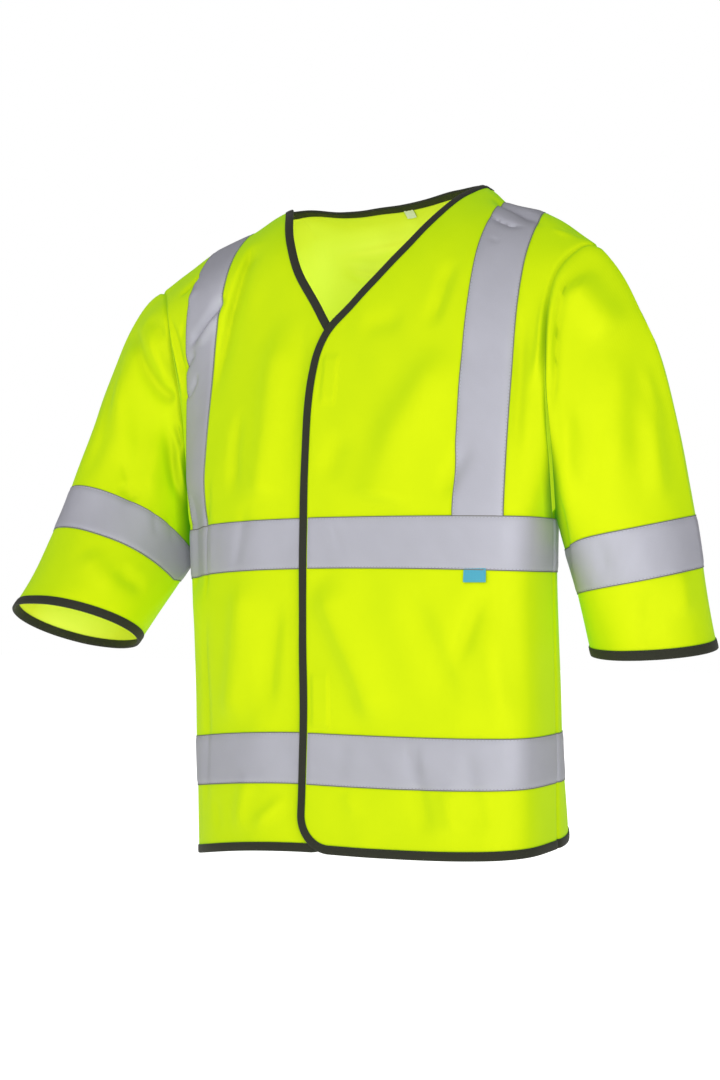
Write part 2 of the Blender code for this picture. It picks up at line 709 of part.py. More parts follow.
def add_tapes(grids, cut, normals):
    """Chest, lower, shoulder and sleeve tapes, moved out from the panels' points."""
    low, high = GAP, GAP + TAPE
    for name, piece in (("left", "front_left"), ("right", "front_right"), ("back", "back")):
        first = 0 if piece == "back" else COL_BINDING
        for label, rows in (("chest", ROW_CHEST), ("lower", ROW_LOWER)):
            part = (slice(rows[0], rows[1] + 1), slice(first, None))
            sheet(f"tape_{label}_{name}", cut[piece][part], normals[piece][part], high, low,
                  "reflective_tape")
    count = len(RISES) + 1
    for side, name in ((1, "left"), (-1, "right")):
        front, back = grids["front_" + name], grids["back"]
        columns = slice(COL_BRACE, COL_BRACE + 3)
        if side > 0:
            hind = slice(-(SIDE_STEPS + 3), -SIDE_STEPS)
        else:
            hind = slice(SIDE_STEPS + 2, SIDE_STEPS - 1, -1)
        fore_points, fore_normals = front[:count, columns], normals["front_" + name][:count, columns]
        hind_points, hind_normals = back[:count, hind], normals["back"][:count, hind]
        points = np.concatenate([fore_points[::-1], hind_points[1:]])
        ways = np.concatenate([fore_normals[::-1], hind_normals[1:]])
        points = pull_back(points, (("top", slice(None)), ("bottom", slice(None))))
        points = pull_back(points, (("top", slice(None)), ("bottom", slice(None))))
        sheet(f"tape_shoulder_{name}", points, ways, high, low, "reflective_tape",
              crossed=count - 1 if side > 0 else 2 * count)
        ring = slice(ROW_BAND[0], ROW_BAND[1] + 1)
        sheet(f"tape_sleeve_{name}", grids["sleeve_" + name][ring], normals["sleeve_" + name][ring],
              high, low, "reflective_tape", ring=True)


def edge_leans(grid, corner):
    """Directions out of a panel at its points, across its left column and its lowest row."""
    side, foot = grid[:, 0] - grid[:, 1], grid[-1, 1:] - grid[-2, 1:]
    side[-2:] = 0.0
    foot[:corner] = 0.0
    return np.vstack([side, foot])


def add_bindings(grids, normals):
    """Bias binding along the neck, the front edges, the hem and the cuffs."""
    reach = SIDE_STEPS + 2 + len(SHOULDER_STEPS)
    left, right, back = grids["front_left"], grids["front_right"], grids["back"]
    last = back.shape[1] - 1 - reach
    neck = [reach, *range(reach, last + 1), last]       # the neck's two corners are given twice
    neck_leans = back[0, neck] - back[1, neck]
    neck_leans[0], neck_leans[-1] = right[0, 0] - right[0, 1], left[0, 0] - left[0, 1]

    def runs(kind):
        return {"binding_front_left": np.vstack([kind["front_left"][:, 0],
                                                 kind["front_left"][-1, 1:]]),
                "binding_hem_back": kind["back"][-1, ::-1],
                "binding_front_right": np.vstack([kind["front_right"][-1, :0:-1],
                                                  kind["front_right"][::-1, 0]]),
                "binding_neck": kind["back"][0, neck]}

    paths, ways = runs(grids), runs(normals)
    leans = [edge_leans(left, 2), (back[-1] - back[-2])[::-1], edge_leans(right, 2)[::-1], neck_leans]
    loop = np.vstack([path[:-1] for path in paths.values()])
    outs = edge_frames(loop, np.vstack([way[:-1] for way in ways.values()]),
                       np.vstack([lean[:-1] for lean in leans]))
    near = np.minimum(np.linalg.norm(neck_leans[1:-1], axis=1) * 0.97, 1.15 * BINDING) / BINDING
    outs[0][2 - len(neck):] = unit(neck_leans[1:-1]) * near[:, None]
    turned = {"binding_front_left": len(left) - 1, "binding_hem_back": back.shape[1],
              "binding_front_right": right.shape[1] - 1, "binding_neck": back.shape[1]}
    start = 0
    for name, path in paths.items():
        index = np.arange(start, start + len(path)) % len(loop)
        start += len(path) - 1
        binding(name, trim_ends(path, GAP / 2), [out[index] for out in outs], ways[name], BINDING,
                turned[name])
    for side, name in ((1, "cuff_left"), (-1, "cuff_right")):
        order = slice(None, None, -side)
        ring = grids["sleeve_" + name[5:]][-2:, order]
        way = normals["sleeve_" + name[5:]][-1, order]
        binding("binding_" + name, ring[1], edge_frames(ring[1], way, ring[1] - ring[0]), way,
                CUFF_BINDING, len(way) if side > 0 else 0, closed=True)


def rows_between(places, top, low):
    """Fractional rows from one place down a column to another, with every whole row between."""
    ends = fractional(places, top), fractional(places, low)
    return [ends[0], *range(math.floor(ends[0]) + 1, math.ceil(ends[1])), ends[1]]


def add_trim(grids, normals):
    """Hook and loop pairs between the fronts, and the two labels."""
    grid, way = grids["front_left"], normals["front_left"]
    for name, (top, low, first, last) in PATCHES.items():
        rows = rows_between(grid[:, 2, 2], top, low)
        crease = float(np.interp(rows[len(rows) // 2], range(len(grid)), grid[:, 2, 0]))
        points, faces = patch(grid, way, rows, (first, crease, last))
        outer = -CLOTH - GAP
        sheet("fastener_" + name, points, faces, outer, outer - PATCH_WALL, "fastener_tape")
    row = ROW_CHEST[1]
    lean = unit(grid[row, COL_BRACE + 2] - grid[row, COL_BRACE])[0]
    reach = SIDE_LABEL[0] / 2 * lean
    places = np.linspace(SIDE_LABEL_X - reach, SIDE_LABEL_X + reach, 3)
    scale = float(np.linalg.norm(grid[row + 1, COL_BRACE] - grid[row, COL_BRACE]))
    rows = row + np.array([GAP, SIDE_LABEL[1]]) / scale
    points, faces = patch(grid, way, rows, places)
    sheet("label_side", points, faces, GAP + 0.0014, GAP + 0.0004, "blue_label")
    back, ways = grids["back"], normals["back"]
    column = back[:, back.shape[1] // 2]
    run = np.concatenate([[0.0], np.linalg.norm(np.diff(column, axis=0), axis=1).cumsum()])
    top = BINDING + 0.0020
    places = np.array([-0.5, 0.0, 0.5]) * SIZE_LABEL[0]
    points, faces = patch(back, ways, rows_between(run, top, top + SIZE_LABEL[1]), places)
    sheet("label_size", points, faces, -CLOTH - GAP, -CLOTH - GAP - 0.0010, "white_label")


build()
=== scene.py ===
"""Looks of a high-visibility vest with short sleeves, filled out as on a hidden form.

Every cut piece is a thin shell on the vest's form.  The form is worked out from the same short
tables as the solids, only more finely, and the folds are laid on it, one row each.
Metres, Z up, the front faces -Y and the wearer's left is +X.
"""
import logging
import math
from dataclasses import dataclass, field
from enum import Enum
from typing import Iterable, Sequence

import bpy
import numpy as np
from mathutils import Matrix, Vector
from mathutils.bvhtree import BVHTree


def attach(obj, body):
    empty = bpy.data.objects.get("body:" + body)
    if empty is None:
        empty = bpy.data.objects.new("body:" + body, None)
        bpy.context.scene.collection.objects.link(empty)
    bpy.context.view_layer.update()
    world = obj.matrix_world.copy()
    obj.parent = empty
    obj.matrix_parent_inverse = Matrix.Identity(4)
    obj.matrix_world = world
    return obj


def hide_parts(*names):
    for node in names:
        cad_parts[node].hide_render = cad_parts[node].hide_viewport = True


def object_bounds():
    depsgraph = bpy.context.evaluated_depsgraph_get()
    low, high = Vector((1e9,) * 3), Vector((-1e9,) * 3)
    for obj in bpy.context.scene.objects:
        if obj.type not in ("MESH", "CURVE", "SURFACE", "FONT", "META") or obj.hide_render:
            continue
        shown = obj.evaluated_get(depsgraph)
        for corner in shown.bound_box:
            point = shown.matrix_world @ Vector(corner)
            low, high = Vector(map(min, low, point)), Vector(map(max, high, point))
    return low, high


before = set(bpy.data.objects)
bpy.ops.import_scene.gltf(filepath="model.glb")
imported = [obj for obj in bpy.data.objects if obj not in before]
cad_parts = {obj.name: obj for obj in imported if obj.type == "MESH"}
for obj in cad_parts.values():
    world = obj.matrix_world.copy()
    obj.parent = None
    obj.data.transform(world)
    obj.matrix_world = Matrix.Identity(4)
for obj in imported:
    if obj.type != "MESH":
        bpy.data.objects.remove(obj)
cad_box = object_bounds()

log = logging.getLogger("vest")
Columns = dict[str, np.ndarray]
MM = 0.001
WAVE_TURN = 20.0        # how far a wave texture of scale 1 turns in one unit, in radians


# ---------------------------------------------------------------- small tools
def table(names: str, *rows: Sequence[float]) -> Columns:
    """Turn rows of numbers into named columns.

    Args:
        names: column names, separated by spaces.
        rows: one tuple for each row.
    Returns:
        dict of column name to array.
    """
    return dict(zip(names.split(), np.array(rows, float).T))


def read(rows: Columns, key: str, name: str, at: np.ndarray | float) -> np.ndarray:
    """Read a table column smoothly between its rows.

    Args:
        rows: the table.
        key: name of the column that is looked up.
        name: name of the column that is wanted.
        at: where to look.
    Returns:
        the values there.
    """
    order = np.argsort(rows[key])
    xs, ys = rows[key][order], rows[name][order]
    slopes = np.gradient(ys, xs)
    at = np.clip(np.asarray(at, float), xs[0], xs[-1])
    i = np.clip(np.searchsorted(xs, at) - 1, 0, len(xs) - 2)
    h = xs[i + 1] - xs[i]
    s = (at - xs[i]) / h
    return ((1 + 2 * s) * (1 - s) ** 2 * ys[i] + s * (1 - s) ** 2 * h * slopes[i]
            + s * s * (3 - 2 * s) * ys[i + 1] + s * s * (s - 1) * h * slopes[i + 1])


def ease(start: float, end: float, at: np.ndarray | float) -> np.ndarray:
    """Soft step from 0 at start to 1 at end."""
    t = np.clip((np.asarray(at, float) - start) / (end - start), 0.0, 1.0)
    return t * t * (3.0 - 2.0 * t)


def unit(vectors: np.ndarray) -> np.ndarray:
    """Vectors of length one."""
    vectors = np.asarray(vectors, float)
    return vectors / np.maximum(np.linalg.norm(vectors, axis=-1, keepdims=True), 1e-12)


def runs(points: np.ndarray, axis: int = 0) -> np.ndarray:
    """Length along a run of points from its first one, for every point.

    Args:
        points: the points, in three coordinates.
        axis: the axis that they follow each other along.
    Returns:
        array like points without its last axis.
    """
    steps = np.linalg.norm(np.diff(points, axis=axis), axis=-1)
    zero = np.zeros_like(np.take(steps, [0], axis=axis))
    return np.concatenate([zero, np.cumsum(steps, axis=axis)], axis=axis)


def graded(start: float, stop: float, step: float, near: Sequence[float] = (),
           far: Sequence[float] = ()) -> list[float]:
    """Places from start to stop, evenly spaced but for chosen ones near both ends.

    Args:
        start: first place.
        stop: last place.
        step: widest spacing in between.
        near: distances from start that are places too.
        far: distances from stop that are places too.
    Returns:
        the places in order, both ends among them.
    """
    way = 1.0 if stop > start else -1.0
    head = [start] + [start + way * d for d in near]
    tail = [stop - way * d for d in sorted(far, reverse=True)] + [stop]
    count = max(1, round(abs(tail[0] - head[-1]) / step))
    return head + list(np.linspace(head[-1], tail[0], count + 1)[1:-1]) + tail


# ---------------------------------------------------------------- finishes
def linear(code: str) -> tuple[float, float, float, float]:
    """An sRGB hex colour as linear red, green, blue and alpha."""
    parts = [int(code[i:i + 2], 16) / 255 for i in (1, 3, 5)]
    return (*(p / 12.92 if p <= 0.04045 else ((p + 0.055) / 1.055) ** 2.4 for p in parts), 1.0)


def add_node(tree: bpy.types.NodeTree, kind: str, settings: dict | None = None,
             links: dict | None = None) -> bpy.types.Node:
    """Add a node to a tree.

    Args:
        tree: the node tree.
        kind: the node's type name.
        settings: values for its properties and its input sockets.
        links: output sockets that feed its input sockets.
    Returns:
        the node.
    """
    made = tree.nodes.new(kind)
    for name, value in (settings or {}).items():
        if isinstance(name, str) and hasattr(made, name):
            setattr(made, name, value)
        else:
            made.inputs[name].default_value = value
    for name, socket in (links or {}).items():
        tree.links.new(socket, made.inputs[name])
    return made


@dataclass
class Draft:
    """A material while its nodes are laid.  Its patterns lie on the piece's flat cut, in metres."""

    name: str
    material: bpy.types.Material = field(init=False)
    tree: bpy.types.NodeTree = field(init=False)
    shader: bpy.types.Node = field(init=False)
    flat: bpy.types.NodeSocket = field(init=False)

    def __post_init__(self) -> None:
        """Start the material."""
        self.material = bpy.data.materials.new(self.name)
        self.material.use_nodes = True
        self.tree = self.material.node_tree
        self.shader = self.tree.nodes["Principled BSDF"]
        self.flat = add_node(self.tree, "ShaderNodeUVMap", {"uv_map": "cut"}).outputs["UV"]

    def clouds(self, size: float, settings: dict) -> bpy.types.NodeSocket:
        """Uneven noise whose clouds are this large."""
        return add_node(self.tree, "ShaderNodeTexNoise", {"Scale": 1 / size, **settings},
                        {"Vector": self.flat}).outputs["Fac"]

    def bands(self, way: str, pitch: float, settings: dict) -> bpy.types.NodeSocket:
        """Bands across one direction of the cut.

        Args:
            way: X or Y.
            pitch: how far apart the bands follow each other.
            settings: the texture's other settings.
        Returns:
            the socket of their height.
        """
        scale = 2 * math.pi / (WAVE_TURN * pitch)
        return add_node(self.tree, "ShaderNodeTexWave",
                        {"bands_direction": way, "Scale": scale, **settings},
                        {"Vector": self.flat}).outputs["Fac"]

    def reckon(self, operation: str, first: bpy.types.NodeSocket,
               second: bpy.types.NodeSocket) -> bpy.types.NodeSocket:
        """One value worked out from two."""
        return add_node(self.tree, "ShaderNodeMath", {"operation": operation},
                        {0: first, 1: second}).outputs[0]

    def blend(self, share: float, first: bpy.types.NodeSocket,
              second: bpy.types.NodeSocket) -> bpy.types.NodeSocket:
        """Two values mixed, with this share of the second."""
        return add_node(self.tree, "ShaderNodeMix", {"data_type": "FLOAT", 0: share},
                        {2: first, 3: second}).outputs[0]

    def colours(self, low: str, high: str, value: bpy.types.NodeSocket) -> bpy.types.NodeSocket:
        """A colour between two.

        Args:
            low: the colour where the value is 0.
            high: the colour where it is 1.
            value: the socket of the value.
        Returns:
            the socket of the colour.
        """
        return add_node(self.tree, "ShaderNodeMix",
                        {"data_type": "RGBA", 6: linear(low), 7: linear(high)},
                        {0: value}).outputs[2]

    def paint_facing_shade(self, colour: bpy.types.NodeSocket, shade: str, share: float,
                    full: float = 0.30) -> bpy.types.NodeSocket:
        """Painted shade: darken a cloth where it is seen along its face.

        Args:
            colour: its colour seen straight on.
            shade: the colour that it moves to.
            share: how far it moves.
            full: how far the cloth faces away where it has moved so far, 0 to 1.
        Returns:
            the socket of the mixed colour.
        """
        facing = add_node(self.tree, "ShaderNodeLayerWeight", {"Blend": 0.5}).outputs["Facing"]
        away = add_node(self.tree, "ShaderNodeMapRange", {"From Max": full, "To Max": share},
                        {"Value": facing})
        return add_node(self.tree, "ShaderNodeMix", {"data_type": "RGBA", 7: linear(shade)},
                        {0: away.outputs[0], 6: colour}).outputs[2]

    def emboss(self, strength: float, depth: float, height: bpy.types.NodeSocket) -> None:
        """Give the surface a relief.

        Args:
            strength: how much of it is seen, 0 to 1.
            depth: how deep it is.
            height: the socket of its height.
        """
        bump = add_node(self.tree, "ShaderNodeBump", {"Strength": strength, "Distance": depth},
                        {"Height": height})
        self.feed("Normal", bump.outputs[0])

    def feed(self, name: str, socket: bpy.types.NodeSocket) -> None:
        """Feed one of the shader's inputs."""
        self.tree.links.new(socket, self.shader.inputs[name])

    def settle(self, values: dict) -> bpy.types.Material:
        """Set the shader's inputs that are the same everywhere.

        Args:
            values: the inputs by name.
        Returns:
            the finished material.
        """
        for name, value in values.items():
            self.shader.inputs[name].default_value = value
        return self.material


@dataclass(frozen=True)
class Knit:
    """Fluorescent polyester tricot, a warp knit: matt, with fine wales that run down the cloth.

    The dye turns unseen light green, so its shaded places stay bright and greener than its lit
    ones.  A low glow of green, painted light that is the same in any light, stands in for that.
    It dims in crevices, where the colour darkens as painted shade, and the colour darkens as
    painted shade where the cloth is seen along its face.
    """

    name: str = "fluorescent_polyester_tricot"
    colour: str = "#DECC00"
    deep: str = "#D5C400"
    painted_shade_colour: str = "#8F8600"     # painted shade where the cloth is seen along its face
    painted_shade_share: float = 0.28
    # painted glow, the same in any light
    glow: str = "#309B00"
    glow_strength: float = 1.0
    least_glow: float = 0.35    # share of the painted glow that the deepest crevices keep
    crevice_shade_reach: float = 16.0 * MM  # painted shade in crevices this wide: the colour darkens and the glow dims, as the dye has less light to turn there
    wale: float = 1.7 * MM      # 0.8 mm on the real cloth, drawn twice as coarse so that it shows
    course: float = 1.3 * MM    # 0.6 mm on the real cloth
    grain: float = 1.1 * MM     # the filament yarn's unevenness
    patch: float = 45.0 * MM    # slow unevenness of the dye
    roughness: float = 0.72
    relief: float = 0.10 * MM
    sheen: float = 0.03

    def make(self) -> bpy.types.Material:
        """Build the material.

        Returns:
            the material.
        """
        draft = Draft(self.name)
        wales = draft.bands("X", self.wale, {"Distortion": 0.6, "Detail": 1.0, "Detail Scale": 0.6})
        courses = draft.bands("Y", self.course,
                              {"Distortion": 0.5, "Detail": 1.0, "Detail Scale": 0.5})
        grain = draft.clouds(self.grain, {"Detail": 2.0, "Roughness": 0.6})
        slow = draft.clouds(self.patch, {"Detail": 1.0})
        loops = draft.reckon("MULTIPLY", wales, courses)
        draft.emboss(0.5, self.relief, draft.reckon("ADD", loops, grain))
        colour = draft.colours(self.deep, self.colour, draft.blend(0.45, slow, grain))
        # painted shade where the cloth is seen along its face
        seen = draft.paint_facing_shade(colour, self.painted_shade_colour, self.painted_shade_share)
        # painted shade in crevices: darkens the colour and dims the painted glow
        crevice_shade = add_node(draft.tree, "ShaderNodeAmbientOcclusion", {"Distance": self.crevice_shade_reach},
                             {"Color": seen})
        lit = add_node(draft.tree, "ShaderNodeMapRange",
                       {"To Min": self.least_glow * self.glow_strength,
                        "To Max": self.glow_strength}, {"Value": crevice_shade.outputs["AO"]})
        draft.feed("Base Color", crevice_shade.outputs["Color"])
        draft.feed("Emission Strength", lit.outputs[0])
        return draft.settle({"Roughness": self.roughness, "IOR": 1.57, "Specular IOR Level": 0.10,
                             "Sheen Weight": self.sheen, "Sheen Roughness": 0.5,
                             "Emission Color": linear(self.glow)})


@dataclass(frozen=True)
class GlassBead:
    """Reflective tape: glass beads on an aluminised backing, bonded to a polyester and cotton cloth.

    The beads make it a soft, even silver grey with no clear reflection, and the woven backing
    shows through as a faint grain.
    """

    name: str = "glass_bead_reflective_tape"
    light: str = "#C3C3CF"
    dark: str = "#B2B2BC"
    painted_shade_colour: str = "#67646A"     # painted shade where the tape is seen along its face, for the beads that send most light straight back
    painted_shade_share: float = 0.17
    bead: float = 0.9 * MM      # clumps of beads of 0.05 mm, drawn coarse enough to show
    thread: float = 1.2 * MM    # 0.3 mm on the real backing, drawn coarse enough to show
    rub: float = 28.0 * MM      # handling marks
    roughness: float = 0.60
    metallic: float = 0.15
    relief: float = 0.06 * MM

    def make(self) -> bpy.types.Material:
        """Build the material.

        Returns:
            the material.
        """
        draft = Draft(self.name)
        beads = draft.clouds(self.bead, {"Detail": 2.0})
        rubbed = draft.clouds(self.rub, {"Detail": 2.0})
        across, along = (draft.bands(way, self.thread, {"Distortion": 0.4}) for way in "XY")
        weave = draft.reckon("MAXIMUM", across, along)
        draft.emboss(0.35, self.relief, draft.reckon("ADD", weave, beads))
        colour = draft.colours(self.dark, self.light, draft.blend(0.5, rubbed, beads))
        # painted shade where the tape is seen along its face
        draft.feed("Base Color", draft.paint_facing_shade(colour, self.painted_shade_colour, self.painted_shade_share))
        return draft.settle({"Roughness": self.roughness, "Metallic": self.metallic})


@dataclass(frozen=True)
class Ribbed:
    """Plain-woven trim of polyester: a matt cloth whose ribs run across it."""

    name: str
    light: str
    dark: str
    rib: float = 1.4 * MM       # 0.35 mm on the real trim, drawn coarse enough to show
    grain: float = 0.9 * MM
    roughness: float = 0.82
    relief: float = 0.10 * MM
    sheen: float = 0.06

    def make(self) -> bpy.types.Material:
        """Build the material.

        Returns:
            the material.
        """
        draft = Draft(self.name)
        ribs = draft.bands("X", self.rib, {"Distortion": 0.8, "Detail": 1.0})
        grain = draft.clouds(self.grain, {"Detail": 2.0})
        draft.emboss(0.5, self.relief, draft.reckon("ADD", ribs, grain))
        draft.feed("Base Color", draft.colours(self.dark, self.light, grain))
        return draft.settle({"Roughness": self.roughness, "IOR": 1.5, "Specular IOR Level": 0.3,
                             "Sheen Weight": self.sheen})


class Finish(Enum):
    """The vest's finishes, each with the name of a material slot, which is not used."""

    KNIT = (Knit(), "fluorescent_cloth")
    # the knit's back, paler than its face and made lighter still as painted light inside the vest,
    # with a redder painted glow and more painted shade where seen along its face
    REVERSE = (Knit(name="tricot_reverse", colour="#F2F45E", deep="#E8EA52",
                   painted_shade_colour="#DED400", painted_shade_share=0.6, glow="#5A7A1A"), "fluorescent_cloth")
    TAPE = (GlassBead(), "reflective_tape")
    # the tape's bare edge, darkened as painted shadow of the gap and the stitching along it
    TAPE_EDGE = (GlassBead(name="bare_tape_edge_and_painted_shadow", light="#77746E", dark="#5F5C56", metallic=0.0,
                           roughness=0.8), "reflective_tape")
    BINDING = (Ribbed("woven_bias_binding", "#34362A", "#24261B"), "edge_binding")
    # the thread's grey, darker than the tape, is partly painted shade of the stitch holes
    THREAD = (Ribbed("spun_polyester_thread", "#8C8B80", "#75736A", rib=0.8 * MM),
              "reflective_tape")
    DARK_THREAD = (Ribbed("spun_polyester_dark_thread", "#3C3E30", "#2C2E22", rib=0.8 * MM),
                   "edge_binding")
    BLUE_LABEL = (Ribbed("satin_label_blue", "#55B1C9", "#48A6C0", roughness=0.55), "blue_label")
    WHITE_LABEL = (Ribbed("satin_label_white", "#F2F0FF", "#E6E4F4", roughness=0.6),
                   "white_label")
    FASTENER = (Ribbed("nylon_hook_and_loop", "#C9D62B", "#B7C51E", rib=1.6 * MM, grain=1.4 * MM,
                       roughness=0.9, relief=0.5 * MM), "fastener_tape")

    def material(self) -> bpy.types.Material:
        """The finish's material, made once."""
        return bpy.data.materials.get(self.value[0].name) or self.value[0].make()


# ---------------------------------------------------------------- the form
@dataclass
class Form:
    """The shape that the whole vest lies on, from its tables.

    A rise is a share of the way from the underarm, 0, to the shoulder, 1.

    Attributes:
        underarm, hem: heights of both.
        back_hem_lift: how much higher the hem lies at the middle of the back.
        chest_tape, lower_tape: heights of each tape's upper and lower edge.
        corner: radius of the fronts' lower corners.
        arch: how round the body is over the shoulders, 2 for an ellipse.
        neck_x: how far from the middle the neck meets the shoulder.
        neck_dip: how far the back neck dips, as a share of the rise.
        overlap_drop: how far the right front lies behind the left one.
        girth: at heights, both side seams, the middles of front and back, how full the back is,
            and how far a row rises at the left seam and drops at the right one.
        armhole: at rises, how far out each armhole seam lies, where it lies on the front and the
            back, and how full the fronts are.
        shoulder: the shoulder line at distances from the middle.
        neck_edge: at rises, how far from the middle the front edges and the neck lie.
        brace: the same for the shoulder tape's inner edge.
    """

    underarm: float = -0.306
    hem: float = -0.635
    back_hem_lift: float = 0.014
    chest_tape: tuple[float, float] = (-0.311, -0.361)
    lower_tape: tuple[float, float] = (-0.521, -0.571)
    corner: float = 0.036
    arch: float = 1.70
    neck_x: float = 0.116
    neck_dip: float = 0.090
    overlap_drop: float = 0.0044
    girth: Columns = field(default_factory=lambda: table(
        "z left_x left_y right_x right_y front_y back_y back_bend left_lift right_drop",
        (-0.310, 0.2163, -0.042, 0.2095, 0.004, -0.1146, 0.104, 1.72, -0.003, 0.008),
        (-0.361, 0.2135, -0.037, 0.2075, 0.006, -0.1152, 0.104, 1.72, -0.004, 0.010),
        (-0.430, 0.2135, -0.034, 0.2040, 0.010, -0.1160, 0.106, 1.76, -0.001, 0.013),
        (-0.521, 0.2140, -0.032, 0.2020, 0.013, -0.1140, 0.112, 1.85, 0.003, 0.018),
        (-0.571, 0.2135, -0.030, 0.2000, 0.015, -0.1170, 0.118, 1.95, 0.006, 0.020),
        (-0.640, 0.2145, -0.031, 0.1970, 0.020, -0.1220, 0.128, 2.10, 0.009, 0.0275)))
    armhole: Columns = field(default_factory=lambda: table(
        "rise left_x left_front left_back right_x right_front right_back left_bend right_bend",
        (0.00, 0.2163, -0.042, -0.042, 0.2095, 0.004, 0.004, 5.6, 2.6),
        (0.15, 0.2270, -0.077, 0.000, 0.2060, -0.040, 0.050, 4.4, 2.7),
        (0.35, 0.2240, -0.086, 0.030, 0.2105, -0.058, 0.066, 3.2, 2.6),
        (0.60, 0.2240, -0.070, 0.036, 0.2190, -0.074, 0.060, 2.6, 2.3),
        (0.80, 0.2400, -0.046, 0.018, 0.2410, -0.044, 0.030, 2.4, 2.1),
        (1.00, 0.2550, -0.026, -0.026, 0.2550, -0.026, -0.026, 2.0, 1.9)))
    shoulder: Columns = field(default_factory=lambda: table(
        "x y z",
        (0.000, 0.040, 0.038),
        (0.070, 0.034, 0.035),
        (0.116, 0.0235, 0.026),
        (0.147, 0.004, 0.006),
        (0.198, -0.004, -0.014),
        (0.255, -0.026, -0.055)))
    neck_edge: Columns = field(default_factory=lambda: table(
        "rise left right",
        (0.00, -0.0215, -0.026),
        (0.15, -0.0215, -0.026),
        (0.24, -0.0215, -0.026),
        (0.31, -0.0195, -0.0255),
        (0.35, -0.0165, -0.020),
        (0.40, -0.006, 0.001),
        (0.46, 0.0205, 0.020),
        (0.55, 0.055, 0.0475),
        (0.65, 0.0815, 0.0665),
        (0.75, 0.0985, 0.0835),
        (0.85, 0.109, 0.0985),
        (0.93, 0.1145, 0.1088),
        (1.00, 0.116, 0.116)))
    brace: Columns = field(default_factory=lambda: table(
        "rise left right back",
        (0.00, 0.143, 0.152, 0.150),
        (0.30, 0.146, 0.150, 0.148),
        (0.60, 0.148, 0.140, 0.146),
        (0.85, 0.150, 0.144, 0.146),
        (1.00, 0.147, 0.147, 0.147)))

    def seam_x(self, side: float, level: np.ndarray) -> np.ndarray:
        """How far from the middle the seam of one side lies.

        Args:
            side: 1 wearer's left, -1 wearer's right.
            level: rise 0..1 above the underarm, or metres below it where negative.
        Returns:
            the distance at each level.
        """
        name = "left_x" if side > 0 else "right_x"
        low = read(self.girth, "z", name, self.underarm + np.minimum(level, 0.0))
        return np.where(level <= 0.0, low, read(self.armhole, "rise", name, np.maximum(level, 0)))

    def half(self, face: int, side: int, level: np.ndarray, across: np.ndarray) -> np.ndarray:
        """Points of one half of the front or back.

        Args:
            face: -1 front, 1 back.
            side: 1 wearer's left, -1 wearer's right.
            level: rise 0..1 above the underarm, or metres below it where negative.
            across: 0 at the middle, 1 at the seam.
        Returns:
            array of points.
        """
        name = "left" if side > 0 else "right"
        level, across = np.broadcast_arrays(np.asarray(level, float), np.clip(across, 0.0, 1.0))
        z = self.underarm + np.minimum(level, 0.0)
        rise = np.maximum(level, 0.0)
        lift = (read(self.girth, "z", "left_lift", z) if side > 0
                else -read(self.girth, "z", "right_drop", z))
        middle = read(self.girth, "z", "front_y" if face < 0 else "back_y", z)
        foot = z + lift * across ** 2
        if face < 0:
            bend = np.interp(rise, self.armhole["rise"], self.armhole[name + "_bend"])
        else:
            bend = read(self.girth, "z", "back_bend", z) + 0.2 * ease(0, 0.3, rise) - 0.5 * rise
            foot = foot + (self.back_hem_lift * ease(self.lower_tape[1], self.hem, z)
                           * (1.0 - across ** 6))
        turn = 1.0 - across ** bend
        low_y = read(self.girth, "z", name + "_y", z)
        low = np.stack([side * self.seam_x(side, level) * across,
                        low_y + (middle - low_y) * turn ** (1.0 / bend), foot], -1)
        column = "_front" if face < 0 else "_back"
        seam_y = read(self.armhole, "rise", name + column, rise)
        common = sum(read(self.armhole, "rise", half + column, rise)
                     for half in ("left", "right")) / 2
        x = self.seam_x(side, level) * across
        out = np.maximum(np.cos(rise * math.pi / 2), 0.0) ** (2 / self.arch)
        up = np.sin(rise * math.pi / 2) ** (2 / self.arch)
        power = 1.0 / bend + (1.0 - 1.0 / bend) * ease(0.0, 0.4, rise)
        ridge = (common + (seam_y - common) * ease(0.0, 0.5, across)
                 + read(self.shoulder, "x", "y", x) - self.shoulder["y"][-1])
        y = (seam_y + (middle - seam_y) * turn ** power) * out + ridge * (1.0 - out)
        high = np.stack([side * x, y, foot + (read(self.shoulder, "x", "z", x) - foot) * up], -1)
        return np.where((level <= 0.0)[..., None], low, high)

    def points(self, face: int, level: np.ndarray, x: np.ndarray) -> np.ndarray:
        """Points of the front or back.

        Args:
            face: -1 front, 1 back.
            level: the points' levels.
            x: how far from the middle they lie, positive on the wearer's left.
        Returns:
            array of points.
        """
        level, x = np.broadcast_arrays(np.asarray(level, float), np.asarray(x, float))
        halves = [self.half(face, side, level, np.abs(x) / self.seam_x(side, level))
                  for side in (-1, 1)]
        return np.where((x >= 0.0)[..., None], halves[1], halves[0])

    def ruler(self, face: int, level: float, count: int = 240) -> tuple[np.ndarray, np.ndarray]:
        """Distances x of one level, and the signed length from the middle to each.

        Args:
            face: -1 front, 1 back.
            level: the level.
            count: how many places each half has.
        Returns:
            the distances and the lengths.
        """
        across = np.sin((1.0 - (1.0 - np.linspace(0, 1, count)) ** 2.5) * math.pi / 2)
        x = np.concatenate([-self.seam_x(-1, level) * across[::-1],
                            self.seam_x(1, level) * across[1:]])
        length = runs(self.points(face, np.full(len(x), level), x))
        return x, length - length[count - 1]


# ---------------------------------------------------------------- folds
FOLD_REACH = 3.2        # how many widths from its middle a fold is worked out


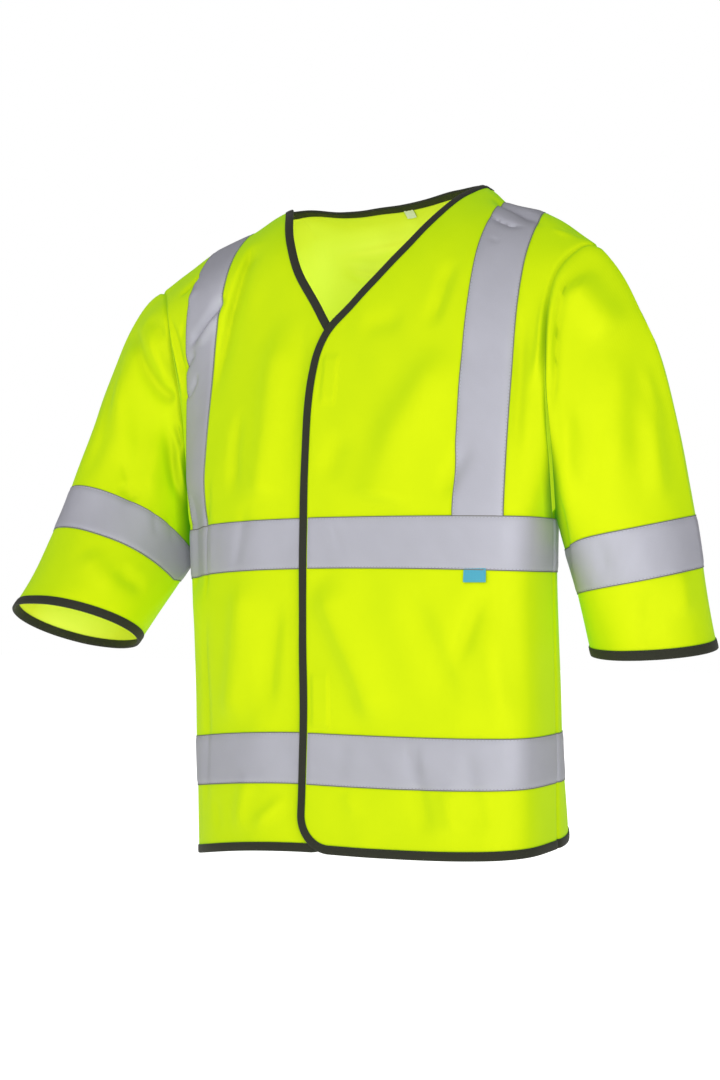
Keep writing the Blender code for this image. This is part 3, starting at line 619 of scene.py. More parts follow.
class Panel(Enum):
    """The cut panels."""

    FRONT_LEFT = "front_left"
    FRONT_RIGHT = "front_right"
    BACK = "back"
    SLEEVE_LEFT = "sleeve_left"
    SLEEVE_RIGHT = "sleeve_right"

    def place(self) -> str:
        """Its place on the vest: left, right or back."""
        return self.value.split("_")[-1]


class Shape(Enum):
    """How a fold is shaped across."""

    SOFT = "round"
    SHARP = "creased along its middle"
    FLAT = "flat on top with soft sides"

    def across(self, share: np.ndarray) -> np.ndarray:
        """The fold's height across.

        Args:
            share: distances from its middle, as shares of its width.
        Returns:
            its height there, 1 in its middle.
        """
        if self is Shape.SOFT:
            return np.exp(-1.6 * share ** 2)
        if self is Shape.SHARP:
            return np.clip(1.0 - share / 1.6, 0.0, 1.0) ** 2.2
        return 1.0 - ease(0.88, 1.14, share)


@dataclass(frozen=True)
class Fold:
    """One fold: a ridge or trough along a path.

    On the fronts and the back a place is (x, z) in millimetres.  On a sleeve it is the turn round
    the arm in degrees, 0 over the shoulder and 90 at the front, and the millimetres below the
    armhole seam.
    """

    panel: Panel
    path: tuple[tuple[float, float], ...]
    height: float               # millimetres, negative for a trough
    width: float                # millimetres from its middle to where it is mostly gone
    other: float = 0.0          # the same on its right side along the path, if it differs
    shape: Shape = Shape.SOFT
    fade: tuple[float, float] = (0.35, 0.35)    # shares of its length over which it starts and ends


# For every panel: the path, then the height, the width, the width on the other side, the shape
# and how it fades, as Fold has them.  Each panel's folds go from the shoulder down.
FOLDS: tuple[Fold, ...] = tuple(Fold(panel, *row) for panel, rows in {
    Panel.FRONT_LEFT: (
        # the cloth over the two hook and loop pairs
        (((3.75, -152), (3.75, -199)), 1.2, 7.75, 0.0, Shape.FLAT, (0.03, 0.03)),
        (((1.0, -464), (1.0, -516)), 1.2, 9.5, 0.0, Shape.FLAT, (0.03, 0.03)),
        # from the shoulder to the chest tape
        (((132, 14), (152, 1), (178, -13), (206, -34)), -5.9, 6, 10),
        (((146, -14), (168, -27), (188, -34)), -3.6, 4, 7, Shape.SHARP),
        (((156, -42), (169, -50)), -0.8, 3),
        (((213, -25), (247, -50)), -1.5, 6),
        (((211, -35), (234, -46)), 1.2, 5),
        (((30, -128), (55, -122), (85, -119)), -1.8, 14),
        (((126, -60), (118, -103), (108, -136)), -3.2, 10, 12),
        (((140, -148), (112, -190), (86, -230), (71, -267), (64, -304)), 6.0, 34, 28,
         Shape.SOFT, (0.25, 0.1)),
        (((26, -227), (14, -250), (6, -280)), -2.2, 16),
        (((159, -242), (131, -298)), -3.4, 12),
        (((201, -110), (202, -169), (202, -280)), -4.2, 9),
        (((220, -100), (219, -150), (214, -200)), 3.8, 6),
        (((12, -313), (22, -335), (29, -353)), -0.8, 4),
        # between the tapes
        (((0, -370), (26, -425), (47, -468), (62, -514)), 6.0, 26, 18,
         Shape.SOFT, (0.2, 0.2)),
        (((90, -375), (116, -422), (137, -470), (150, -508)), -4.2, 18, 22),
        (((176, -377), (158, -422), (144, -460)), -3.8, 12, 14),
        (((182, -400), (184, -450), (190, -490), (194, -516)), 4.4, 14, 20),
        # from the lower tape to the hem
        (((28, -522), (26, -545), (28, -569)), -1.2, 12),
        (((95, -521), (99, -545), (103, -565)), -0.9, 3, 5, Shape.SHARP),
        (((112, -524), (116, -560)), 0.8, 5),
        (((196, -518), (199, -542)), -0.8, 4),
        (((100, -522), (108, -563), (122, -616)), -2.8, 11, 15,
         Shape.SOFT, (0.3, 0.25)),
        (((30, -574), (46, -600)), 1.4, 9),
        (((136, -560), (148, -612)), 3.0, 11),
        (((156, -522), (162, -560), (174, -612)), -2.4, 11, 14,
         Shape.SOFT, (0.3, 0.25))),
    Panel.FRONT_RIGHT: (
        (((-137, -73), (-148, -91), (-163, -107), (-179, -119), (-188, -127)), -6.2, 5, 8,
         Shape.SHARP, (0.2, 0.3)),
        (((-142, -92), (-158, -112), (-176, -126)), 3.8, 6),
        (((-174, -128), (-187, -140), (-199, -153)), -4.6, 5, 7, Shape.SHARP),
        (((-170, -153), (-185, -172), (-200, -178)), -3.8, 4, 6, Shape.SHARP),
        (((-129, -80), (-132, -112)), -0.8, 4),
        (((-121, -15), (-123, -47), (-127, -79), (-133, -110), (-140, -149), (-143, -196)), -6.2,
         17, 5, Shape.SOFT, (0.15, 0.4)),
        (((-184, -41), (-193, -54), (-207, -69)), -3.8, 5),
        (((-178, -62), (-190, -78)), 1.4, 6),
        (((-191, -94), (-199, -121)), -1.2, 4),
        (((-64, -95), (-66, -200), (-72, -296)), 5.4, 22, 18, Shape.SOFT, (0.3, 0.1)),
        (((-38, -100), (-36, -176), (-40, -263)), -2.8, 13),
        (((-102, -190), (-107, -240), (-104, -296)), -3.8, 11),
        (((-141, -250), (-146, -294), (-151, -321), (-152, -345), (-150, -400)), -3.6, 4, 7,
         Shape.SHARP, (0.35, 0.25)),
        (((-182, -262), (-183, -330), (-182, -400)), -8.5, 42, 16, Shape.SOFT, (0.3, 0.3)),
        (((-232, -72), (-212, -110), (-204, -150), (-203, -189)), 3.4, 4),
        (((-224, -74), (-205, -108), (-197, -150), (-196, -185)), -1.8, 4, 6, Shape.SHARP),
        (((-133, -290), (-138, -330), (-138, -372)), 1.2, 6),
        (((-89, -290), (-96, -331), (-105, -372)), -1.2, 7),
        # between the tapes and down to the hem
        (((-90, -368), (-102, -446), (-112, -522)), 5.4, 24, 18, Shape.SOFT, (0.2, 0.2)),
        (((-47, -380), (-57, -451), (-64, -512)), -4.0, 11, 20),
        (((-146, -385), (-153, -440), (-151, -496), (-150, -560), (-147, -630)), -3.2, 7, 12),
        (((-20, -395), (-28, -440)), 1.2, 9),
        (((-133, -590), (-123, -630)), -1.4, 7),
        (((-84, -560), (-92, -596), (-98, -628)), 3.2, 12),
        (((-34, -582), (-52, -597), (-76, -618)), 2.6, 8)),
    Panel.BACK: (
        (((-112, -6), (-60, -6), (0, -2), (70, -2)), -4.2, 12, 9),
        (((-100, -18), (-60, -34), (-20, -36)), -4.0, 10),
        (((-64, -50), (-30, -74), (-10, -104)), -2.8, 12),
        (((-60, -70), (-70, -160), (-66, -262)), 4.1, 20),
        (((-20, -90), (-28, -200), (-20, -292)), -3.8, 16),
        (((40, -70), (52, -180), (60, -280)), 4.1, 18),
        (((95, -100), (90, -200), (104, -292)), -4.1, 15),
        (((-118, -110), (-112, -170), (-120, -240)), -3.8, 13),
        (((190, -104), (165, -160), (140, -226)), -4.1, 8, 13),
        (((-186, -96), (-160, -150), (-136, -218)), -4.1, 13, 8),
        (((196, -196), (184, -222), (160, -250)), 3.1, 9),
        (((-196, -205), (-178, -236)), 3.1, 9),
        (((-186, -240), (-176, -300), (-180, -390)), -3.1, 5, 9, Shape.SHARP),
        # between the tapes
        (((-150, -366), (-138, -440), (-152, -514)), 4.5, 13),
        (((-100, -372), (-92, -450), (-78, -516)), -4.1, 14),
        (((-30, -366), (-42, -440), (-36, -516)), 4.1, 15),
        (((28, -372), (44, -452), (62, -517)), -4.5, 13),
        (((100, -366), (90, -440), (106, -515)), 4.8, 16),
        (((160, -372), (168, -450), (158, -515)), -3.8, 12),
        # from the lower tape to the hem
        (((-132, -575), (-122, -612)), -2.8, 9),
        (((-64, -576), (-72, -608)), 2.8, 9),
        (((12, -576), (24, -606)), -2.8, 10),
        (((88, -576), (82, -608)), 2.8, 9),
        (((150, -575), (162, -612)), -2.8, 8)),
    Panel.SLEEVE_LEFT: (
        (((26, 16), (45, 16), (62, 18), (89, 21), (115, 12)), -3.4, 6, 9, Shape.SHARP,
         (0.25, 0.25)),
        (((22, 9), (48, 8), (66, 8), (100, 8)), 2.7, 6),
        (((-14, 8), (-10, 56), (-6, 112)), -6.5, 17, 0.0, Shape.SOFT, (0.2, 0.45)),
        (((32, 18), (30, 55), (26, 92)), 7.5, 26, 22, Shape.SOFT, (0.15, 0.3)),
        (((24, 96), (38, 122), (52, 146), (66, 176)), 4.6, 19),
        (((70, 76), (84, 105), (95, 135)), -2.6, 15),
        (((18, 150), (25, 200), (34, 246)), 4.4, 15),
        (((14, 128), (16, 190)), 1.4, 9),
        (((84, 44), (112, 60), (129, 65)), 3.4, 10),
        (((95, 160), (98, 196)), -1.4, 9),
        (((58, 268), (70, 300), (80, 328)), -3.8, 17),
        (((26, 310), (36, 352)), 3.2, 15),
        # on its back and under the arm
        (((-24, 15), (-50, 17), (-80, 18), (-112, 12)), -4.9, 8, 5, Shape.SHARP),
        (((-20, 100), (-46, 140), (-74, 158)), 5.2, 13),
        (((-72, 70), (-96, 116)), -4.5, 11),
        (((-30, 180), (-24, 256)), -4.1, 10),
        (((-86, 150), (-100, 196)), 3.4, 9),
        (((-50, 292), (-58, 350)), 3.4, 9),
        (((-92, 230), (-98, 262)), -3.0, 7),
        (((148, 20), (160, 60), (170, 104)), -3.8, 7, 10, Shape.SHARP),
        (((-140, 24), (-152, 88)), -3.8, 8)),
    Panel.SLEEVE_RIGHT: (
        (((6, 58), (32, 50), (52, 41), (73, 25), (91, 4)), -6.0, 8, 12, Shape.SOFT, (0.3, 0.1)),
        (((34, 32), (56, 20), (79, 8)), 4.1, 8),
        (((26, 30), (40, 14), (54, 3)), -3.0, 7),
        (((28, 86), (60, 93), (92, 100)), 5.0, 16),
        (((20, 88), (50, 140), (56, 180)), -3.8, 14),
        (((98, 12), (112, 7), (122, 3)), -3.8, 5),
        (((88, 24), (108, 23), (128, 24), (149, 22)), -5.0, 7, 10),
        (((112, 13), (128, 14), (144, 16)), 3.2, 6),
        (((90, 112), (112, 94)), -3.0, 10),
        (((91, 40), (112, 64), (129, 54)), 3.4, 14),
        (((78, 104), (99, 100)), -1.4, 5),
        (((96, 190), (120, 172), (146, 156)), 3.0, 16),
        (((128, 150), (146, 138), (166, 126)), -3.0, 12),
        (((125, 68), (143, 80)), -1.0, 4),
        (((140, 50), (160, 63)), -1.0, 4),
        # on its back and under the arm
        (((-26, 14), (-54, 18), (-84, 16), (-110, 10)), -4.5, 8, 5, Shape.SHARP),
        (((-18, 80), (-44, 124), (-70, 150)), 4.9, 13),
        (((-70, 66), (-92, 108)), -4.1, 10),
        (((-24, 170), (-20, 230)), -3.8, 10),
        (((-84, 140), (-100, 184)), 3.4, 9),
        (((-46, 250), (-54, 300)), 3.0, 9),
        (((-120, 20), (-140, 44)), -4.1, 6, 9, Shape.SHARP))}.items() for row in rows)


# ---------------------------------------------------------------- cloth
def grid_normals(grid: np.ndarray, ring: bool) -> np.ndarray:
    """Area-weighted normals of a grid's points, on its outer side.

    Args:
        grid: rows of points.
        ring: the columns close on themselves.
    Returns:
        array like grid.
    """
    wide = np.concatenate([grid, grid[:, :1]], axis=1) if ring else grid
    face = np.cross(wide[1:, 1:] - wide[:-1, :-1], wide[:-1, 1:] - wide[1:, :-1])
    total = np.zeros_like(wide)
    for rows in (slice(None, -1), slice(1, None)):
        for cols in (slice(None, -1), slice(1, None)):
            total[rows, cols] += face
    if ring:
        total[:, 0] += total[:, -1]
        total = total[:, :-1]
    return total


@dataclass
class Cloth:
    """A panel as a grid of points with its flat sizes, before and after its folds.

    Attributes:
        panel: which panel it is.
        grid: rows of points from the shoulder or armhole down.
        chart: where a fold's path finds each point.
        cut: each point's place on the flat cut, in metres.
        outward: 1 where the grid's own normals point out, else -1.
        ring: the columns close on themselves.
        normals: the outward normals of its points, once they are worked out.
    """

    panel: Panel
    grid: np.ndarray
    chart: np.ndarray
    cut: np.ndarray
    outward: float
    ring: bool = False
    normals: np.ndarray | None = None

    def weighted(self) -> np.ndarray:
        """The grid's outward normals, with their area weight."""
        return grid_normals(self.grid, self.ring) * self.outward

    def area(self) -> float:
        """Area of one side of the cloth."""
        return float(np.linalg.norm(self.weighted(), axis=-1).sum() / 8)

    def lift(self, places: np.ndarray, values: np.ndarray | None = None) -> np.ndarray:
        """Points of the cloth, or other values of its grid, at places of its chart.

        Args:
            places: rows of chart coordinates.
            values: what to read, the points if left out.
        Returns:
            rows of points or values.
        """
        values = self.grid if values is None else values
        rows, cols = self.grid.shape[:2]
        flat = self.chart.reshape(-1, 2)
        found = []
        for place in places:
            i, j = divmod(int(np.argmin(((flat - place) ** 2).sum(axis=1))), cols)
            i = min(max(i, 1), rows - 2)
            j = min(max(j, 1), cols - 2)
            down = np.array([self.chart[i + 1, j] - self.chart[i - 1, j],
                             self.chart[i, j + 1] - self.chart[i, j - 1]])
            steps = np.clip(np.linalg.solve(down.T + np.eye(2) * 1e-9, place - self.chart[i, j]),
                            -1.0, 1.0)
            found.append(values[i, j] + steps[0] * (values[i + 1, j] - values[i - 1, j])
                         + steps[1] * (values[i, j + 1] - values[i, j - 1]))
        return np.array(found)

    def fold_height(self, fold: Fold) -> np.ndarray:
        """How far one fold moves every point outward.

        Args:
            fold: the fold.
        Returns:
            array of metres, one for each point.
        """
        marks = np.array(fold.path, float)
        last = len(marks) - 1
        fine = np.linspace(0, last, 8 * last + 1)
        order = {"at": np.arange(last + 1.0), "a": marks[:, 0], "b": marks[:, 1]}
        line = self.lift(np.stack([read(order, "at", key, fine) for key in "ab"], -1))
        flat = self.grid.reshape(-1, 3)
        reach = FOLD_REACH * max(fold.width, fold.other) * MM
        near = np.flatnonzero(((flat > line.min(axis=0) - reach)
                               & (flat < line.max(axis=0) + reach)).all(axis=1))
        distance, along, right = self.measure(line, near)
        width = np.where(right, fold.other or fold.width, fold.width) * MM
        ends = ease(0.0, fold.fade[0], along) * ease(0.0, fold.fade[1], 1.0 - along)
        height = np.zeros(len(flat))
        height[near] = fold.shape.across(distance / width) * ends * fold.height * MM
        return height.reshape(self.grid.shape[:2])

    def measure(self, line: np.ndarray,
                near: np.ndarray) -> tuple[np.ndarray, np.ndarray, np.ndarray]:
        """Measure how points of the cloth lie to a line on it.

        Args:
            line: points along the line.
            near: numbers of the cloth's points.
        Returns:
            how far each lies from the line, the share of the line's length that is before it,
            and whether it lies right of it.
        """
        points, ways = (values.reshape(-1, 3)[near] for values in (self.grid, self.normals))
        best = np.full(len(near), np.inf)
        along, right = np.zeros(len(near)), np.zeros(len(near), bool)
        run = runs(line)
        for k, step in enumerate(np.diff(line, axis=0)):
            length = max(float(np.linalg.norm(step)), 1e-9)
            share = np.clip(((points - line[k]) @ step) / length ** 2, 0.0, 1.0)
            away = points - line[k] - share[:, None] * step
            distance = np.linalg.norm(away, axis=1)
            closer = distance < best
            best = np.where(closer, distance, best)
            along = np.where(closer, (run[k] + share * length) / run[-1], along)
            right = np.where(closer, (np.cross(step, ways) * away).sum(axis=1) > 0.0, right)
        return best, along, right

    def faces(self) -> np.ndarray:
        """Corner numbers of the grid's faces."""
        return grid_faces(*self.grid.shape[:2], self.ring)


def grid_faces(rows: int, cols: int, ring: bool) -> np.ndarray:
    """Number the corners of the faces of a grid of points.

    Args:
        rows: how many rows it has.
        cols: how many columns.
        ring: the columns close on themselves.
    Returns:
        four corner numbers for each face.
    """
    r, c = np.meshgrid(np.arange(rows - 1), np.arange(cols if ring else cols - 1), indexing="ij")
    d = (c + 1) % cols
    return np.stack([r * cols + c, (r + 1) * cols + c, (r + 1) * cols + d, r * cols + d],
                    -1).reshape(-1, 4)


def rim(rows: int, cols: int, ring: bool) -> list[tuple[int, int]]:
    """Find the edges around a grid of points.

    Args:
        rows: how many rows it has.
        cols: how many columns.
        ring: the columns close on themselves.
    Returns:
        the two corner numbers of each edge, in the order of its face.
    """
    low = (rows - 1) * cols
    pairs = [(c, (c + 1) % cols) for c in range(cols if ring else cols - 1)]
    pairs += [(low + b, low + a) for a, b in pairs]
    if not ring:
        pairs += [((r + 1) * cols, r * cols) for r in range(rows - 1)]
        pairs += [(r * cols + cols - 1, (r + 1) * cols + cols - 1) for r in range(rows - 1)]
    return pairs


def make_piece(name: str, vertices: np.ndarray, faces: Sequence[Sequence[int]],
               cut: np.ndarray, finishes: Sequence[Finish],
               inner: Iterable[int] = (), sharp: float = 50.0) -> bpy.types.Object:
    """Make one piece of the model from its points and faces.

    Args:
        name: the piece's name.
        vertices: rows of points.
        faces: corner numbers of the faces.
        cut: place on the flat cut of every face's corners, in order.
        finishes: its finishes, the inner side's last.
        inner: numbers of the faces with the last finish.
        sharp: edges that turn more than this many degrees stay sharp.
    Returns:
        the object, riding on the vest's one body.
    """
    mesh = bpy.data.meshes.new(name)
    mesh.from_pydata(np.asarray(vertices).tolist(), [], [list(map(int, f)) for f in faces])
    layer = mesh.uv_layers.new(name="cut")
    layer.data.foreach_set("uv", np.asarray(cut, np.float32).ravel())
    for finish in finishes:
        mesh.materials.append(finish.material())
    index = np.zeros(len(mesh.polygons), np.int32)
    index[list(inner)] = len(finishes) - 1
    mesh.polygons.foreach_set("material_index", index)
    mesh.shade_smooth()
    mesh.set_sharp_from_angle(angle=math.radians(sharp))
    mesh.update()
    piece = bpy.data.objects.new(name, mesh)
    bpy.context.scene.collection.objects.link(piece)
    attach(piece, "root")
    log.info("%s: %d faces", name, len(mesh.polygons))
    return piece


def make_shell(name: str, outer: np.ndarray, inner: np.ndarray, cut: np.ndarray,
               finishes: Sequence[Finish], ring: bool = False,
               last: Iterable[int] | None = None) -> bpy.types.Object:
    """Make a thin closed shell between two grids.

    Args:
        name: the piece's name.
        outer: rows of points on its outer side.
        inner: the same on its inner side.
        cut: rows of places on the flat cut, with one column more on a ring.
        finishes: its finishes.
        ring: the columns close on themselves.
        last: numbers of the outer faces with the last finish; the inner side's if left out.
    Returns:
        the object.
    """
    rows, cols = outer.shape[:2]
    size = rows * cols
    top = grid_faces(rows, cols, ring)
    places = grid_faces(rows, cut.shape[1], False)
    edge = np.array([(a, b, b + size, a + size) for a, b in rim(rows, cols, ring)])
    flat = cut.reshape(-1, 2)
    edge_cut = cut[edge % size // cols, edge % size % cols]
    faces = np.concatenate([top, top[:, ::-1] + size, edge[:, ::-1]])
    corners = np.concatenate([flat[places], flat[places[:, ::-1]], edge_cut[:, ::-1]])
    if (grid_normals(outer, ring) * (outer - inner)).sum() > 0.0:
        faces, corners = faces[:, ::-1], corners[:, ::-1]
    vertices = np.concatenate([outer.reshape(-1, 3), inner.reshape(-1, 3)])
    return make_piece(name, vertices, faces, corners.reshape(-1, 2), finishes,
                      range(len(top), 2 * len(top)) if last is None else last)


# ---------------------------------------------------------------- panels
@dataclass(frozen=True)
class Sleeve:
    """How one sleeve runs from its armhole to its cuff.

    Its outer line is the one over the shoulder, its inner line the one from the underarm.

    Attributes:
        cuff: the middle of the cuff.
        plane: the direction square to the cuff.
        way: the direction in which the cloth arrives there.
        half: half the cuff's width from side to side and from front to back.
        band: how far above the cuff the tape lies on the outer and on the inner line.
        start: how the cloth leaves the armhole, outward and up, on the same two lines.
        ease: how far it keeps its direction at the armhole and at the cuff.
    """

    cuff: tuple[float, float, float]
    plane: tuple[float, float, float]
    way: tuple[float, float, float]
    half: tuple[float, float]
    band: tuple[float, float]
    start: tuple[tuple[float, float], tuple[float, float]]
    ease: tuple[float, float]


@dataclass
class Panels:
    """The two fronts, the back and the two sleeves, as grids on the form.

    Attributes:
        form: the shape they lie on.
        thickness: of the cloth.
        seam_depth: how far the cloth dips into a seam.
        seam_reach: how far from a seam the dip is mostly gone.
        seam_fade: how far from a seam the folds reach their full height.
        tape_width: of every tape.
        cuff_binding: how much of a cuff's binding shows.
        edge: rows at a tape's edge, as distances from it.
        beside: rows next to a tape, the same.
        seam_steps: columns next to a seam, as distances from it.
        top_rises: rises of the rows by the shoulder.
        arm_top, arm_count: rise of the row after those, and how many rows go from it to the underarm.
        above_tape: how far over the chest tape one more row lies.
        row_step, hem_step: widest spacing of rows, and of those under the lower tape.
        inner_span: usual width from the front edge to the shoulder tape.
        edge_columns: columns by the front edge, close together under its binding.
        fine_start, inner_start: where the columns after those start, and where the wider ones do.
        fine_count, inner_count: how many there are of both.
        neck_count, shoulder_count: columns of half the back under the neck, and on to its tape.
        neck_columns: rises over which the back's columns move over to follow the neck.
        neck_round: power of the back neck's curve, 1 for a parabola.
        overlap: distances from the right front's edge, up to the first of which it lies under the
            left front, and from the second of which it is level with it.
        overlap_top: rises over which the two fronts part.
        side_count, brace_count: columns beside the shoulder tape and under it.
        upper_count, band_count, lower_count: rows of a sleeve above, under and below its tape.
        sleeves: how each sleeve runs, 1 the wearer's left, -1 the wearer's right.
        neck_wave: how far the neck edge stands up at distances from the middle.
        neck_foot: the rise from which it does.
        sway_height: how high the cloth's slow unevenness is.
        cloths: the panels once they are shaped.
        flat: each panel's width, length and area before its folds.
        levels: every row's rise above the underarm, or metres below it where negative.
        arm_rows: how many of them are above the underarm.
        chest_rows, lower_rows, band_rows: rows under each tape.
        inner: columns from the front edge to the shoulder tape, 0 to 1.
        brace_at: columns under the shoulder tape, as distances from its inner edge.
        brace_front: which columns of a front those are.
    """

    form: Form = field(default_factory=Form)
    thickness: float = 1.0 * MM
    seam_depth: float = 2.3 * MM
    seam_reach: float = 2.3 * MM
    seam_fade: float = 6.5 * MM
    tape_width: float = 0.050
    cuff_binding: float = 0.0085
    edge: tuple[float, ...] = (0.9 * MM, 1.7 * MM, 2.6 * MM)
    beside: tuple[float, float] = (1.0 * MM, 2.2 * MM)
    seam_steps: tuple[float, ...] = (1.2 * MM, 2.6 * MM, 4.5 * MM)
    top_rises: tuple[float, ...] = (1.0, 0.99, 0.98, 0.965)
    arm_top: float = 0.95
    arm_count: int = 115
    above_tape: float = 2.5 * MM
    row_step: float = 3.2 * MM
    hem_step: float = 3.0 * MM
    inner_span: float = 0.161
    edge_columns: tuple[float, ...] = (0.0, 0.00015, 0.0006, 0.0012, 0.0020, 0.0032, 0.0048,
                                       0.0066, 0.0085)
    fine_start: float = 0.0105
    inner_start: float = 0.0385
    fine_count: int = 15
    inner_count: int = 34
    neck_count: int = 30
    shoulder_count: int = 14
    neck_columns: tuple[float, float] = (0.25, 0.85)
    neck_round: float = 0.55
    overlap: tuple[float, float] = (0.048, 0.110)
    overlap_top: tuple[float, float] = (0.45, 0.8)
    side_count: int = 18
    brace_count: int = 16
    upper_count: int = 46
    band_count: int = 16
    lower_count: int = 24
    sleeves: dict[int, Sleeve] = field(default_factory=lambda: {
        1: Sleeve(cuff=(0.2920, 0.022, -0.440), plane=(0.035, 0.11, -1.0), way=(0.24, 0.09, -1.0),
                  half=(0.0600, 0.059), band=(0.078, 0.0635),
                  start=((0.76, -0.65), (0.26, -0.94)), ease=(0.84, 0.59)),
        -1: Sleeve(cuff=(-0.2958, -0.121, -0.4194), plane=(-0.07, -0.43, -1.0),
                   way=(-0.51, -0.485, -1.0), half=(0.0728, 0.0623), band=(0.0953, 0.0854),
                   start=((0.89, -0.30), (0.42, -0.94)), ease=(0.66, 0.78))})
    neck_wave: Columns = field(default_factory=lambda: table(
        "x up",
        (-0.146, 0.0),
        (-0.116, 0.0045),
        (-0.070, -0.0010),
        (-0.030, -0.0005),
        (0.020, 0.0020),
        (0.066, 0.0058),
        (0.116, 0.0042),
        (0.146, 0.0)))
    neck_foot: float = 0.84
    sway_height: float = 0.45 * MM
    cloths: dict[Panel, Cloth] = field(default_factory=dict)
    flat: dict[Panel, tuple[float, float, float]] = field(default_factory=dict)
    levels: np.ndarray = field(init=False)
    arm_rows: int = field(init=False)
    chest_rows: slice = field(init=False)
    lower_rows: slice = field(init=False)
    band_rows: slice = field(init=False)
    inner: np.ndarray = field(init=False)
    brace_at: np.ndarray = field(init=False)
    brace_front: slice = field(init=False)

    def __post_init__(self) -> None:
        """Work out the rows and columns that every panel shares."""
        form, edge, beside, step = self.form, self.edge, self.beside, self.row_step
        above = [*self.top_rises, *np.linspace(self.arm_top, 0.0, self.arm_count)]
        taped = [graded(*tape, step, edge, edge) for tape in (form.chest_tape, form.lower_tape)]
        below = [form.chest_tape[0] + self.above_tape, *taped[0]]
        below += graded(form.chest_tape[1], form.lower_tape[0], step, beside, beside)[1:]
        below += taped[1][1:]
        below += graded(form.lower_tape[1], form.hem, self.hem_step, beside)[1:]
        self.levels = np.array(above + [z - form.underarm for z in below])
        self.arm_rows = len(above)
        self.chest_rows = slice(self.arm_rows + 1, self.arm_rows + 1 + len(taped[0]))
        low = int(np.argmin(np.abs(self.levels + form.underarm - form.lower_tape[0])))
        self.lower_rows = slice(low, low + len(taped[1]))
        first = 1 + len(self.seam_steps) + self.upper_count
        self.band_rows = slice(first, first + self.band_count + 2 * len(edge))
        fine = [*self.edge_columns,
                *np.linspace(self.fine_start, self.inner_start, self.fine_count),
                *np.linspace(self.inner_start, self.inner_span, self.inner_count)[1:]]
        self.inner = np.array(fine) / self.inner_span
        self.brace_at = np.array(self.under_tape(0.0, self.brace_count + 1))
        self.brace_front = slice(len(self.inner) - 1, len(self.inner) - 1 + len(self.brace_at))

    def under_tape(self, start: float, count: int) -> list[float]:
        """Places across a tape that starts here, closer at both its edges.

        Args:
            start: the place of its first edge.
            count: how many places its even middle has, both ends among them.
        Returns:
            the places in order.
        """
        stop, edge = start + self.tape_width, self.edge
        return [start, *(start + d for d in edge),
                *np.linspace(start + edge[-1], stop - edge[-1], count)[1:-1],
                *(stop - d for d in edge[::-1]), stop]

    def tail(self, start: float, stop: float) -> np.ndarray:
        """Columns from the shoulder tape's inner edge to the seam.

        Args:
            start: how far from the middle the tape's inner edge lies, along the cloth.
            stop: how far from the middle the seam lies.
        Returns:
            their lengths from the middle.
        """
        out = start + self.brace_at
        last = [stop - d for d in self.seam_steps[::-1]]
        side = list(np.linspace(out[-1], last[0], self.side_count + 1)[1:-1]) + last + [stop]
        return np.concatenate([out, side])

    def front(self, side: int) -> Cloth:
        """One front as a grid.

        Args:
            side: 1 wearer's left, -1 wearer's right.
        Returns:
            the panel, not folded yet.
        """
        form = self.form
        name = "left" if side > 0 else "right"
        xs, lengths, levels = [], [], []
        for level in self.levels:
            x, length = form.ruler(-1, float(level))
            rise = max(float(level), 0.0)
            start = abs(np.interp(side * read(form.brace, "rise", name, rise), x, length))
            stop = abs(length[-1] if side > 0 else length[0])
            edge = side * np.interp(side * read(form.neck_edge, "rise", name, rise), x, length)
            row = np.concatenate([edge + self.inner * (start - edge), self.tail(start, stop)[1:]])
            xs.append(np.interp(side * row, length, x))
            lengths.append(side * row)
            levels.append(self.corner_levels(float(level), row - edge))
        grid = form.points(-1, np.array(levels), np.array(xs))
        cut = np.stack([np.array(lengths), -runs(grid)], -1)
        panel = Panel.FRONT_LEFT if side > 0 else Panel.FRONT_RIGHT
        return Cloth(panel, grid, grid[..., [0, 2]] / MM, cut, 1.0 if side > 0 else -1.0)

    def corner_levels(self, level: float, away: np.ndarray) -> np.ndarray:
        """Levels of one row of a front, lifted round its lower corner.

        Args:
            level: the row's own level.
            away: distances from the front edge.
        Returns:
            the level of each point.
        """
        form = self.form
        top, foot = form.lower_tape[1] - form.underarm, form.hem - form.underarm
        if level >= top:
            return np.full(len(away), level)
        radius = form.corner
        inside = np.clip(radius - away, 0.0, radius)
        rise = radius - np.sqrt(radius ** 2 - inside ** 2)
        return top + (foot + rise - top) * (level - top) / (foot - top)

